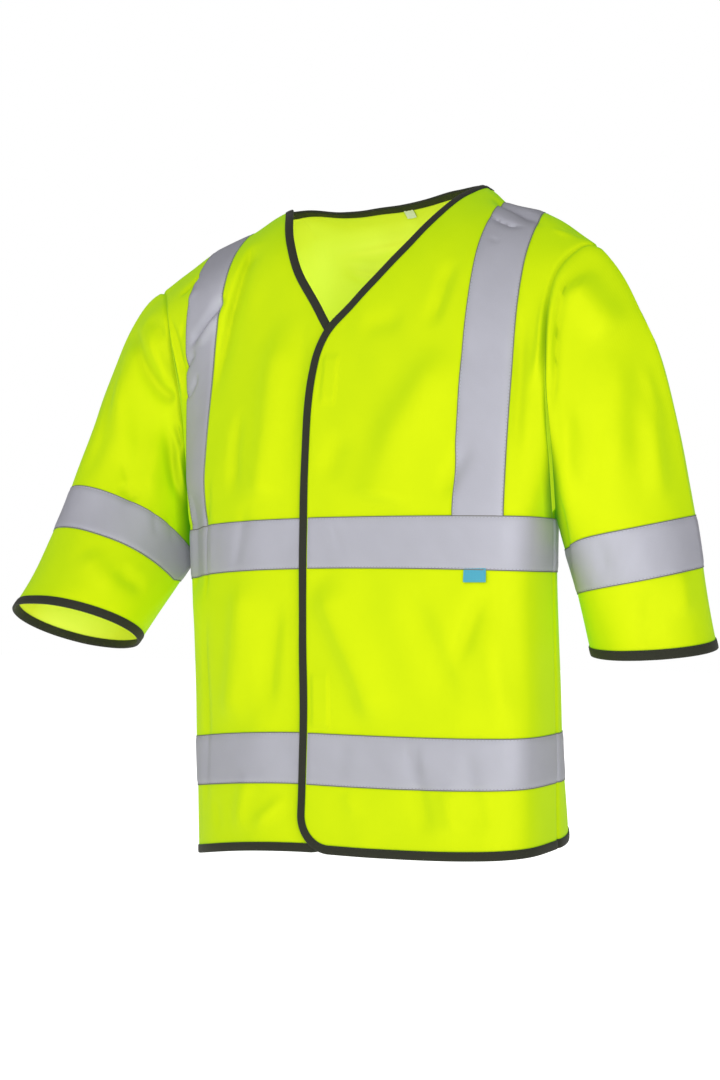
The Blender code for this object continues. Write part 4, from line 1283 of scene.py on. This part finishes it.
    def back(self) -> Cloth:
        """The back as a grid, from its right seam to its left one.

        Returns:
            the panel, not folded yet.
        """
        form = self.form
        neck_count, count = self.neck_count, self.neck_count + self.shoulder_count
        turn = np.sin(math.pi / 2 * np.arange(neck_count) / neck_count)
        step = np.arange(self.shoulder_count) / self.shoulder_count
        xs, lengths, levels = [], [], []
        for level in self.levels:
            rise = max(float(level), 0.0)
            x, length = form.ruler(1, float(level))
            halves = {}
            for side in (-1, 1):
                start = abs(np.interp(side * read(form.brace, "rise", "back", rise), x, length))
                stop = abs(length[-1] if side > 0 else length[0])
                neck = abs(np.interp(side * form.neck_x, x, length))
                even = start * np.arange(count) / count
                high = np.concatenate([neck * turn, neck + step * (start - neck)])
                inner = even + (high - even) * ease(*self.neck_columns, rise)
                halves[side] = np.concatenate([inner, self.tail(start, stop)])
            row = np.concatenate([-halves[-1][::-1], halves[1][1:]])
            at = np.interp(row, length, x)
            near = np.clip(1.0 - (at / form.neck_x) ** 2, 0.0, 1.0)
            xs.append(at)
            lengths.append(row)
            dip = form.neck_dip * near ** self.neck_round
            levels.append(np.where(level > 0.0, level * (1.0 - dip), level))
        grid = form.points(1, np.array(levels), np.array(xs))
        cut = np.stack([-np.array(lengths), -runs(grid)], -1)
        return Cloth(Panel.BACK, grid, grid[..., [0, 2]] / MM, cut, -1.0)

    def sleeve(self, side: int, front: Cloth, back: Cloth) -> Cloth:
        """One sleeve as rings from the armhole to the cuff.

        Args:
            side: 1 left, -1 right.
            front: the front on that side; its last column above the underarm is the armhole.
            back: the back.
        Returns:
            the panel, not folded yet.
        """
        fore = front.grid[:self.arm_rows, -1]
        hind = back.grid[:self.arm_rows, -1 if side > 0 else 0]
        loop = np.vstack([fore, hind[1:-1][::-1]])
        fore_run, hind_run = runs(fore), runs(hind)
        angle = np.concatenate([math.pi * fore_run / fore_run[-1],
                                -math.pi * (hind_run / hind_run[-1])[1:-1][::-1]])
        sleeve = self.sleeves[side]
        axis, way = unit(sleeve.plane), unit(sleeve.way)
        outward = unit(np.array([side, 0.0, 0.0]) - side * axis[0] * axis)
        forward = unit(np.array([0.0, -1.0, 0.0]) + axis[1] * axis)
        forward = unit(forward - np.dot(forward, outward) * outward)
        wide, deep = sleeve.half
        cuff = (np.array(sleeve.cuff) + outward * (wide * np.cos(angle))[:, None]
                + forward * (deep * np.sin(angle))[:, None])
        (far, fall), (close, drop) = sleeve.start
        t = np.linspace(0.0, 1.0, 200)[:, None]
        lines, lengths = [], []
        for a, b, turn in zip(loop, cuff, angle):
            reach = np.linalg.norm(b - a)
            outer = (1.0 + math.cos(turn)) / 2
            start = unit([side * (close + (far - close) * outer), 0.0,
                          drop + (fall - drop) * outer])
            curve = ((1 + 2 * t) * (1 - t) ** 2 * a
                     + t * (1 - t) ** 2 * start * reach * sleeve.ease[0]
                     + t * t * (3 - 2 * t) * b + t * t * (t - 1) * way * reach * sleeve.ease[1])
            run = runs(curve)
            foot = sleeve.band[1] + (sleeve.band[0] - sleeve.band[1]) * outer
            stops = self.down_sleeve(run[-1], foot)
            lines.append(np.stack([np.interp(stops, run, curve[:, k]) for k in range(3)], -1))
            lengths.append(stops)
        grid = np.array(lines).transpose(1, 0, 2)
        length = np.array(lengths).T
        chart = np.stack([np.broadcast_to(np.degrees(angle), length.shape), length / MM], -1)
        around = np.append(angle % (2 * math.pi + 1e-9), 2 * math.pi)
        radius = (wide + deep) / 2
        cut = np.stack([np.broadcast_to(around * radius * side, (len(grid), len(around))),
                        -np.concatenate([length, length[:, :1]], axis=1)], -1)
        panel = Panel.SLEEVE_LEFT if side > 0 else Panel.SLEEVE_RIGHT
        return Cloth(panel, grid, chart, cut, -1.0 if side > 0 else 1.0, ring=True)

    def down_sleeve(self, length: float, foot: float) -> list[float]:
        """Places down one line of a sleeve.

        Args:
            length: of the line, from the armhole to the cuff.
            foot: how far above the cuff the tape's lower edge lies.
        Returns:
            lengths from the armhole.
        """
        top = length - foot - self.tape_width
        low = top + self.tape_width
        close, clear = self.beside
        upper = np.linspace(self.seam_steps[-1], top - clear, self.upper_count)[1:]
        lower = np.linspace(low + clear, length, self.lower_count)[1:]
        return [0.0, *self.seam_steps, *upper, top - close,
                *self.under_tape(top, self.band_count), low + close, low + clear, *lower]

    def seam_distance(self, cloth: Cloth) -> np.ndarray:
        """How far every point lies from its panel's nearest seam.

        Args:
            cloth: the panel.
        Returns:
            array of metres, one for each point.
        """
        down = runs(cloth.grid)
        if cloth.ring:
            return down
        across = runs(cloth.grid, axis=1)
        far = across[:, -1:] - across
        if cloth.panel is not Panel.BACK:
            return np.minimum(far, down)
        shoulder = np.abs(cloth.grid[0, :, 0]) > self.form.neck_x - 1e-6
        return np.minimum(np.minimum(across, far), np.where(shoulder, down, 1.0))

    def drop_under(self, cloth: Cloth) -> None:
        """Set the right front back where the left one lies over it.

        Args:
            cloth: the right front.
        """
        away = runs(cloth.grid, axis=1)
        rise = np.maximum(self.levels, 0.0)[:, None]
        share = (1.0 - ease(*self.overlap, away)) * (1.0 - ease(*self.overlap_top, rise))
        cloth.grid = cloth.grid - cloth.normals * (self.form.overlap_drop * share)[..., None]

    def lift_neck(self, cloth: Cloth) -> None:
        """Let the bound neck edge stand up unevenly, as it does with nothing in it.

        Args:
            cloth: the panel; a sleeve stays as it is.
        """
        if cloth.ring:
            return
        rise = np.maximum(self.levels, 0.0)[:, None]
        up = read(self.neck_wave, "x", "up", cloth.grid[..., 0]) * ease(self.neck_foot, 1.0, rise)
        cloth.grid = cloth.grid + up[..., None] * np.array([0.0, 0.0, 1.0])

    def sway(self, cloth: Cloth) -> np.ndarray:
        """Slow unevenness of hanging cloth, the same each time.

        Args:
            cloth: the panel.
        Returns:
            array of metres, one for each point.
        """
        x, y, z = np.moveaxis(cloth.grid, -1, 0)
        waves = (np.sin(61 * x + 23 * z + 0.8) * np.sin(17 * z - 31 * y + 1.9)
                 + 0.6 * np.sin(97 * x - 41 * z + 2.2) * np.sin(29 * z + 53 * y)
                 + 0.4 * np.sin(143 * x + 67 * y + 37 * z))
        return self.sway_height * waves

    def shape(self) -> None:
        """Make every panel's grid and lay its folds on it."""
        left, right, back = self.front(1), self.front(-1), self.back()
        found = [left, right, back, self.sleeve(1, left, back), self.sleeve(-1, right, back)]
        for cloth in found:
            cloth.normals = unit(cloth.weighted())
        self.drop_under(right)
        for cloth in found:
            self.lift_neck(cloth)
            sides = cloth.cut[..., 0]
            width = float(sides.max() - sides.min())
            self.flat[cloth.panel] = (width, float(-cloth.cut[..., 1].min()), cloth.area())
            distance = self.seam_distance(cloth)
            height = self.sway(cloth)
            for fold in FOLDS:
                if fold.panel is cloth.panel:
                    height = height + cloth.fold_height(fold)
            height = height * ease(0.0, self.seam_fade, distance)
            height = height - self.seam_depth * np.exp(-(distance / self.seam_reach) ** 2)
            cloth.grid = cloth.grid + cloth.normals * height[..., None]
            cloth.normals = unit(cloth.weighted())
            self.cloths[cloth.panel] = cloth

    def build(self) -> None:
        """Make the panels' shells."""
        for panel, cloth in self.cloths.items():
            piece = make_shell("cloth_" + panel.value, cloth.grid,
                               cloth.grid - cloth.normals * self.thickness, cloth.cut,
                               (Finish.KNIT, Finish.REVERSE), cloth.ring)
            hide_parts(panel.value)


# ---------------------------------------------------------------- sewing
@dataclass
class Stitching:
    """Rows of lockstitch, each stitch a short thread that sinks in at both ends."""

    length: float = 2.5 * MM
    space: float = 0.9 * MM
    radius: float = 0.28 * MM
    sink: float = 0.1 * MM      # how deep its ends sink in
    over: float = 1.1           # its height over the cloth and its depth in it, as shares of radius
    under: float = 0.6
    lead: float = 0.15          # where the first stitch starts, as a share of a stitch and its space
    vertices: list[np.ndarray] = field(default_factory=list)
    faces: list[tuple[int, ...]] = field(default_factory=list)

    def sew(self, line: np.ndarray, normals: np.ndarray, ring: bool = False) -> None:
        """Add one row of stitches.

        Args:
            line: points along the row, on the surface.
            normals: outward normals there.
            ring: the row closes on itself.
        """
        if ring:
            line, normals = (np.vstack([values, values[:1]]) for values in (line, normals))
        run = runs(line)
        count = int(run[-1] / (self.length + self.space))
        starts = (np.arange(count) + self.lead) * run[-1] / max(count, 1)
        for start in starts:
            at = start + self.length * np.array([0.0, 0.5, 1.0])
            a, m, b = (np.array([np.interp(s, run, line[:, k]) for k in range(3)]) for s in at)
            up = unit(np.array([np.interp(at[1], run, normals[:, k]) for k in range(3)]))
            side = unit(np.cross(b - a, up)) * self.radius
            first = 6 * len(self.vertices)
            self.vertices.append(np.array([a - up * self.sink, b - up * self.sink,
                                           m + up * self.radius * self.over, m + side,
                                           m - up * self.radius * self.under, m - side]))
            for k in range(4):
                p, q = first + 2 + k, first + 2 + (k + 1) % 4
                self.faces += [(first, p, q), (first + 1, q, p)]

    def make(self, name: str, finish: Finish) -> bpy.types.Object:
        """Make the piece that holds all the rows sewn so far.

        Args:
            name: the piece's name.
            finish: the thread's finish.
        Returns:
            the object.
        """
        vertices = np.concatenate(self.vertices)
        cut = np.concatenate([vertices[list(face)][:, [0, 2]] for face in self.faces])
        return make_piece(name, vertices, self.faces, cut, (finish,), sharp=180.0)


@dataclass
class Tapes:
    """Reflective tape round the chest and the lower body, over the shoulders and the sleeves."""

    panels: Panels
    lift: float = 0.15 * MM     # air under the tape
    wall: float = 0.55 * MM     # of the tape at its sewn edges
    crown: float = 0.45 * MM    # how much higher the tape's middle stands than its sewn edges
    stitch_row: int = 2         # which row or column from the edge is sewn
    hidden: int = 8             # columns of a front that lie under its edge binding
    groove: float = 0.3 * MM    # how deep the stitches pull it in
    groove_half: float = 0.6 * MM
    crown_reach: float = 7.0 * MM   # how far from its edge it stands at its full height
    end_share: float = 0.35     # share of its height at an end that is sewn in flat
    end_reach: float = 4.0 * MM

    def heights(self, across: np.ndarray, ends: np.ndarray | float) -> np.ndarray:
        """Height of the tape's outer side over the cloth.

        Args:
            across: distances from its nearer edge.
            ends: distances from an end that is sewn in flat.
        Returns:
            array of metres.
        """
        seam = self.panels.edge[1]
        groove = self.groove * np.exp(-((across - seam) / self.groove_half) ** 2)
        high = self.wall + self.crown * ease(seam, self.crown_reach, across) - groove
        share = self.end_share + (1.0 - self.end_share) * ease(0.0, self.end_reach, ends)
        return self.lift + high * share

    def lay(self, place: str, grid: np.ndarray, normals: np.ndarray, cut: np.ndarray,
            along: int = 1, ring: bool = False, ends: np.ndarray | float = 1.0) -> None:
        """Lay one length of tape and sew it on.

        Args:
            place: where it lies on the vest.
            grid: rows of points of the cloth under it.
            normals: outward normals of the cloth.
            cut: rows of places on the flat cut.
            along: 1 where the tape runs along the rows, 0 where it runs along the columns.
            ring: the columns close on themselves.
            ends: how far each point lies from an end that is sewn in flat.
        """
        over = runs(grid, axis=1 - along)
        across = np.minimum(over, np.take(over, [-1], axis=1 - along) - over)
        outer = grid + normals * self.heights(across, ends)[..., None]
        # the faces along both edges take the dark edge finish: the tape's bare edge and painted
        # shadow
        corners = across.reshape(-1)[grid_faces(*grid.shape[:2], ring)]
        border = np.flatnonzero(corners.min(axis=1) < 1e-6)
        piece = make_shell("tape_cloth_" + place, outer, grid + normals * self.lift, cut,
                           (Finish.TAPE, Finish.TAPE_EDGE), ring, border)
        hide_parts("tape_" + place)
        rows = Stitching()
        for k in (self.stitch_row, -1 - self.stitch_row):
            rows.sew(np.take(outer, k, axis=1 - along), np.take(normals, k, axis=1 - along), ring)
        thread = rows.make("stitching_tape_" + place, Finish.THREAD)
        long = float(runs(grid, axis=along).max())
        if ring:
            long += float(np.linalg.norm(grid[:, 0] - grid[:, -1], axis=1).mean())

    def lay_brace(self, side: int, panel: Panel) -> None:
        """Lay a tape over one shoulder, from the chest tape in front to the one behind.

        Args:
            side: 1 left, -1 right.
            panel: the front on that side.
        """
        panels = self.panels
        front, back = panels.cloths[panel], panels.cloths[Panel.BACK]
        rows = slice(0, panels.chest_rows.start + 1)
        tail, width = panels.side_count + len(panels.seam_steps), len(panels.brace_at)
        fore = (rows, panels.brace_front)
        hind = (rows, slice(-tail - width, -tail) if side > 0
                else slice(tail + width - 1, tail - 1, -1))
        grid = np.concatenate([front.grid[fore][::-1], back.grid[hind][1:]])
        ways = unit(np.concatenate([front.normals[fore][::-1], back.normals[hind][1:]]))
        cut = np.concatenate([front.cut[fore][::-1] * (1, -1), back.cut[hind][1:] * (-1, 1)])
        self.lay("shoulder_" + panel.place(), grid, ways, cut, along=0)

    def build(self) -> None:
        """Lay all the tapes."""
        panels = self.panels
        for label, rows in (("chest", panels.chest_rows), ("lower", panels.lower_rows)):
            for panel in (Panel.FRONT_LEFT, Panel.FRONT_RIGHT, Panel.BACK):
                cloth = panels.cloths[panel]
                part = (rows, slice(0 if panel is Panel.BACK else self.hidden, None))
                ends = 1.0 if panel is Panel.BACK else runs(cloth.grid[part], axis=1)
                self.lay(f"{label}_{panel.place()}", cloth.grid[part], cloth.normals[part],
                         cloth.cut[part], ends=ends)
        self.lay_brace(1, Panel.FRONT_LEFT)
        self.lay_brace(-1, Panel.FRONT_RIGHT)
        for panel in (Panel.SLEEVE_LEFT, Panel.SLEEVE_RIGHT):
            cloth, rows = panels.cloths[panel], panels.band_rows
            self.lay("sleeve_" + panel.place(), cloth.grid[rows], cloth.normals[rows],
                     cloth.cut[rows], ring=True)


@dataclass
class Bindings:
    """Bias binding folded over the neck, the front edges, the hem and the cuffs."""

    panels: Panels
    width: float = 7.6 * MM     # how much of it shows
    neck_width: float = 9.2 * MM
    wall: float = 1.0 * MM      # of one leg at its fullest
    air: float = 0.12 * MM      # between a leg and the cloth
    reach: float = 1.1 * MM     # how far the fold stands past the cloth's edge
    legs: tuple[float, ...] = (1.0, 0.86, 0.62, 0.35, 0.12)     # places across a leg
    full: tuple[float, ...] = (0.75, 0.95, 1.1, 1.15, 1.05)     # its height there, as share of wall
    turns: tuple[int, ...] = (65, 35, 0, -35, -65)      # places round the fold, in degrees
    slack: float = 0.3 * MM     # between the cloth's edge and the inside of the fold
    rim: float = 0.4 * MM       # how wide the strip's bare edge is on the flat cut
    proud: float = 0.02 * MM    # how far its stitches stand off
    smooth: int = 8             # how many times its directions are smoothed
    tree: BVHTree | None = None     # all the cloth's outer faces

    def gather(self) -> None:
        """Collect the cloth's outer faces, to find the places under the binding's legs."""
        vertices, faces = [], []
        for cloth in self.panels.cloths.values():
            first = len(vertices)
            vertices += cloth.grid.reshape(-1, 3).tolist()
            faces += (cloth.faces() + first).tolist()
        self.tree = BVHTree.FromPolygons(vertices, faces)

    def rounded(self, ways: np.ndarray) -> np.ndarray:
        """Smooth the directions around a closed loop over its corners.

        Args:
            ways: the direction at each place of the loop.
        Returns:
            the smoothed directions.
        """
        for _ in range(self.smooth):
            ways = unit(np.roll(ways, 1, axis=0) + 2 * ways + np.roll(ways, -1, axis=0))
        return ways

    def sections(self, path: np.ndarray, outs: np.ndarray, normals: np.ndarray,
                 width: float) -> np.ndarray:
        """Sections of a strip that is folded over an edge.

        Args:
            path: points along the edge, on the cloth's outer side.
            outs: outward directions in the cloth.
            normals: outward normals of the cloth.
            width: how much of it shows.
        Returns:
            one ring of points for each place of the path, that starts at the outer leg's edge.
        """
        cloth = self.panels.thickness
        under = [np.array([tuple(self.tree.find_nearest(Vector(p - o * share * width))[0])
                           for p, o in zip(path, outs)]) for share in self.legs]
        legs = [(points, full * self.wall) for points, full in zip(under, self.full)]
        middle, radius = -cloth / 2, cloth / 2 + self.wall
        profile = list(legs)
        for turn in map(math.radians, self.turns):
            profile.append((path + outs * self.reach * math.cos(turn),
                            middle + radius * math.sin(turn)))
        profile += [(points, -cloth - height) for points, height in legs[::-1]]
        profile += [(points, -cloth - self.air) for points in under]
        profile.append((path + outs * self.slack, middle))
        profile += [(points, self.air) for points in under[::-1]]
        return np.stack([points + normals * height for points, height in profile], axis=1)

    def caps(self, count: int, size: int) -> list[list[int]]:
        """Number the corners of the faces that close both ends of a row of rings.

        Args:
            count: how many rings there are.
            size: how many points each ring has.
        Returns:
            four corner numbers for each face.
        """
        found = []
        for base, turn in ((0, 1), ((count - 1) * size, -1)):
            for k in range(size // 2):
                quad = [base + k, base + k + 1, base + size - 2 - k, base + size - 1 - k]
                if len(set(quad)) == 4:
                    found.append(quad[::turn])
        return found

    def fold_over(self, edge: str, path: np.ndarray, outs: np.ndarray, normals: np.ndarray,
                  width: float, ring: bool = False) -> None:
        """Fold one length of binding over an edge and sew it.

        Args:
            edge: which edge it is.
            path: points along the edge, on the cloth's outer side.
            outs: outward directions in the cloth.
            normals: outward normals of the cloth.
            width: how much of it shows.
            ring: the path closes on itself.
        """
        rings = self.sections(path, outs, normals, width)
        count, size = rings.shape[:2]
        along, around = runs(np.vstack([path, path[:1]])), runs(rings[0])
        around = np.append(around, around[-1] + self.rim)
        flat = np.stack(np.meshgrid(along if ring else along[:-1], around, indexing="ij"), -1)
        faces = list(grid_faces(len(flat), size, True) % (count * size))
        corners = list(flat.reshape(-1, 2)[grid_faces(len(flat), size + 1, False)])
        if not ring:
            caps = self.caps(count, size)
            faces += caps
            corners += [np.zeros((4, 2))] * len(caps)
        piece = make_piece("bias_" + edge, rings.reshape(-1, 3), faces, np.concatenate(corners),
                           (Finish.BINDING,), sharp=60.0)
        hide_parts("binding_" + edge)
        rows = Stitching(radius=0.24 * MM)
        rows.sew(rings[:, 1] + normals * self.proud, normals, ring)
        thread = rows.make("stitching_binding_" + edge, Finish.DARK_THREAD)

    def edges(self, pick: str) -> dict[str, np.ndarray]:
        """The edges that make one loop round the fronts, the hem and the neck.

        Args:
            pick: "grid" for the points along them, "normals" for the normals there.
        Returns:
            the rows of each edge in the loop's order; each starts where the last one ends.
        """
        cloths = self.panels.cloths
        left, right, back = (getattr(cloths[panel], pick)
                             for panel in (Panel.FRONT_LEFT, Panel.FRONT_RIGHT, Panel.BACK))
        x = cloths[Panel.BACK].chart[0, :, 0]
        neck = np.flatnonzero(np.abs(x) < self.panels.form.neck_x / MM + 1e-3)
        return {"front_left": np.vstack([left[:, 0], left[-1, 1:]]),
                "hem_back": back[-1, ::-1],
                "front_right": np.vstack([right[-1, :0:-1], right[::-1, 0]]),
                "neck": back[0, neck]}

    def build(self) -> None:
        """Bind every edge of the vest."""
        self.gather()
        paths = self.edges("grid")
        loop = np.vstack([path[:-1] for path in paths.values()])
        ways = self.rounded(np.vstack([way[:-1] for way in self.edges("normals").values()]))
        ahead = unit(np.roll(loop, -1, axis=0) - np.roll(loop, 1, axis=0))
        outs = self.rounded(unit(np.cross(ahead, ways)))
        start = 0
        for edge, path in paths.items():
            index = np.arange(start, start + len(path)) % len(loop)
            start += len(path) - 1
            self.fold_over(edge, path, outs[index], ways[index],
                           self.neck_width if edge == "neck" else self.width)
        for panel in (Panel.SLEEVE_LEFT, Panel.SLEEVE_RIGHT):
            cloth = self.panels.cloths[panel]
            self.fold_over("cuff_" + panel.place(), cloth.grid[-1],
                           unit(cloth.grid[-1] - cloth.grid[-4]), cloth.normals[-1],
                           self.panels.cuff_binding, ring=True)


@dataclass
class Trim:
    """The hook and loop pairs between the fronts, and the two labels, left bare.

    Attributes:
        patches: each pair's top, foot and sides in the left front's chart.
        patch_wall: how thick a closed pair is.
        patch_air: between the left front's inner side and the pair.
        side_label: the same for the side label.
        flap_lift: how far the side label's sewn edge stands off.
        flap_bow: how much farther its free edge stands off in its middle, and its corners past
            that, in millimetres.
        size_label: the size label's width and length in millimetres.
        size_air: between the back's inner side and the size label's upper edge.
        size_hang: how much farther its free edge hangs off.
        label_wall: how thick a label is.
        least_side: the least length for a side of a sheet; not used.
    """

    panels: Panels
    patches: dict[str, tuple[float, float, float, float]] = field(default_factory=lambda: {
        "upper": (-154.0, -197.0, -4.0, 11.5), "lower": (-466.0, -514.0, -8.5, 10.5)})
    patch_wall: float = 2.4 * MM
    patch_air: float = 0.3 * MM
    side_label: tuple[float, float, float, float] = (-361.6, -374.6, 155.0, 176.0)
    flap_lift: float = 0.5 * MM
    flap_bow: tuple[float, float] = (0.9, 0.7)
    size_label: tuple[float, float] = (11.0, 12.0)
    size_air: float = 0.5 * MM
    size_hang: float = 0.6 * MM
    label_wall: float = 0.4 * MM
    least_side: float = 10.5 * MM

    def leaf(self, name: str, node: str, cloth: Cloth, places: np.ndarray,
             outer: np.ndarray | float, wall: float, finish: Finish) -> None:
        """Make a small flat piece over a panel's surface.

        Args:
            name: the piece's name.
            node: the solid that it stands for.
            cloth: the panel.
            places: rows of places in the panel's chart.
            outer: how far out its outer side lies.
            wall: its thickness.
            finish: its finish.
        """
        rows, cols = places.shape[:2]
        flat = places.reshape(-1, 2)
        points = cloth.lift(flat).reshape(rows, cols, 3)
        ways = unit(cloth.lift(flat, cloth.normals)).reshape(rows, cols, 3)
        outer = np.broadcast_to(outer, (rows, cols))[..., None]
        piece = make_shell(name, points + ways * outer, points + ways * (outer - wall),
                           places * MM, (finish,))
        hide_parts(node)

    def build(self) -> None:
        """Make the patches and the labels."""
        front, back = (self.panels.cloths[p] for p in (Panel.FRONT_LEFT, Panel.BACK))
        inside = -self.panels.thickness
        for name, (top, low, first, last) in self.patches.items():
            z, x = np.meshgrid(np.linspace(top, low, 12), np.linspace(first, last, 6),
                               indexing="ij")
            self.leaf("hook_and_loop_" + name, "fastener_" + name, front, np.stack([x, z], -1),
                      inside - self.patch_air, self.patch_wall, Finish.FASTENER)
        top, low, first, last = self.side_label
        down, over = np.meshgrid(np.linspace(0, 1, 9), np.linspace(0, 1, 13), indexing="ij")
        places = np.stack([first + (last - first) * over, top + (low - top) * down], -1)
        middle, ends = self.flap_bow
        bow = self.flap_lift + down * MM * (middle + ends * (2 * over - 1) ** 2)
        self.leaf("label_flap_side", "label_side", front, places, bow, self.label_wall,
                  Finish.BLUE_LABEL)
        wide, long = self.size_label
        column = back.grid[:, back.grid.shape[1] // 2]
        z = np.interp(self.panels.cuff_binding + down * long * MM, runs(column), column[:, 2])
        self.leaf("label_flap_size", "label_size", back,
                  np.stack([(over - 0.5) * wide, z / MM], -1),
                  inside - self.size_air - self.size_hang * down, self.label_wall,
                  Finish.WHITE_LABEL)


# ---------------------------------------------------------------- studio
@dataclass
class Studio:
    """Pale floor, soft light and the camera.

    Attributes:
        target: where the camera looks.
        azimuth, elevation: where it stands, in degrees, 0 in front and level.
        distance: how far from its target.
        lens: its focal length in millimetres.
        ambient: how strongly the white room lights the vest.
        soft_boxes: each lamp's place, its side and its watts.
        floor_glow: how strongly the floor lights the vest.
        floor_drop: how far the floor lies under the vest.
        floor_half: half the floor's side.
    """

    target: tuple[float, float, float] = (-0.0140, -0.0078, -0.33)
    azimuth: float = 29.2
    elevation: float = -1.8
    distance: float = 1.65
    lens: float = 53.0
    ambient: float = 0.22
    soft_boxes: dict[str, tuple[tuple[float, float, float], float, float]] = field(
        default_factory=lambda: {"key": ((1.5, -2.1, -0.05), 0.9, 26.0),
                                 "back": ((-0.6, 2.4, 0.2), 1.4, 9.0),
                                 "fill": ((-1.1, -2.0, 0.9), 1.2, 13.0)})
    floor_glow: float = 0.5
    floor_drop: float = 0.12
    floor_half: float = 6.0

    def hang(self, name: str, place: tuple[float, float, float], side: float,
             watts: float) -> None:
        """Hang a square soft box that faces the vest.

        Args:
            name: its name.
            place: where it hangs.
            side: its side.
            watts: its power.
        """
        lamp = bpy.data.lights.new(name, "AREA")
        lamp.size = side
        lamp.energy = watts
        box = bpy.data.objects.new(name, lamp)
        box.location = place
        box.rotation_euler = (Vector(self.target) - Vector(place)).to_track_quat("-Z", "Y").to_euler()
        bpy.context.scene.collection.objects.link(box)

    def seen(self, tree: bpy.types.NodeTree, strength: bpy.types.NodeSocket, light: float) -> None:
        """Make a surface look white while it lights the vest less than that.

        Args:
            tree: its node tree.
            strength: the socket for its strength.
            light: its strength for all but the camera.
        """
        path = add_node(tree, "ShaderNodeLightPath")
        mixed = add_node(tree, "ShaderNodeMix", {"data_type": "FLOAT", 2: light, 3: 1.0},
                         {0: path.outputs["Is Camera Ray"]})
        tree.links.new(mixed.outputs[0], strength)

    def lay_floor(self, height: float) -> None:
        """Lay a floor of white paper.

        Args:
            height: the floor's own height.
        """
        mesh = bpy.data.meshes.new("floor")
        half = self.floor_half
        mesh.from_pydata([(x, y, height) for x, y in ((-half, -half), (half, -half), (half, half),
                                                      (-half, half))], [], [(0, 1, 2, 3)])
        paper = bpy.data.materials.new("white_paper_floor")
        paper.use_nodes = True
        shader = paper.node_tree.nodes["Principled BSDF"]
        shader.inputs["Base Color"].default_value = linear("#F2F2F2")
        shader.inputs["Roughness"].default_value = 0.9
        shader.inputs["Emission Color"].default_value = linear("#FFFFFF")
        self.seen(paper.node_tree, shader.inputs["Emission Strength"], self.floor_glow)
        mesh.materials.append(paper)
        floor = bpy.data.objects.new("floor", mesh)
        bpy.context.scene.collection.objects.link(floor)

    def whiten_room(self) -> None:
        """Put the vest in a plain white room."""
        world = bpy.data.worlds.new("white_room")
        world.use_nodes = True
        room = world.node_tree.nodes["Background"]
        room.inputs["Color"].default_value = (1.0, 1.0, 1.0, 1.0)
        self.seen(world.node_tree, room.inputs["Strength"], self.ambient)
        bpy.context.scene.world = world

    def place_camera(self) -> None:
        """Set the camera up."""
        azimuth, elevation = math.radians(self.azimuth), math.radians(self.elevation)
        away = Vector((math.sin(azimuth) * math.cos(elevation),
                       -math.cos(azimuth) * math.cos(elevation), math.sin(elevation)))
        camera = bpy.data.cameras.new("camera")
        camera.lens = self.lens
        camera.dof.use_dof = False
        holder = bpy.data.objects.new("camera", camera)
        holder.location = Vector(self.target) + away * self.distance
        holder.rotation_euler = (-away).to_track_quat("-Z", "Y").to_euler()
        bpy.context.scene.collection.objects.link(holder)
        bpy.context.scene.camera = holder

    def build(self, low: float) -> None:
        """Set the floor, the room, the lights and the camera.

        Args:
            low: the vest's lowest height.
        """
        bpy.context.scene.view_settings.view_transform = "Standard"
        self.lay_floor(low - self.floor_drop)
        self.whiten_room()
        for name, settings in self.soft_boxes.items():
            self.hang(name, *settings)
        self.place_camera()


def main() -> None:
    """Build the vest's pieces in order and set the studio."""
    logging.basicConfig(level=logging.INFO, format="%(name)s: %(message)s")
    Studio().build(cad_box[0][2])
    panels = Panels()
    panels.shape()
    panels.build()
    Tapes(panels).build()
    Bindings(panels).build()
    Trim(panels).build()


if __name__ == "__main__":
    main()
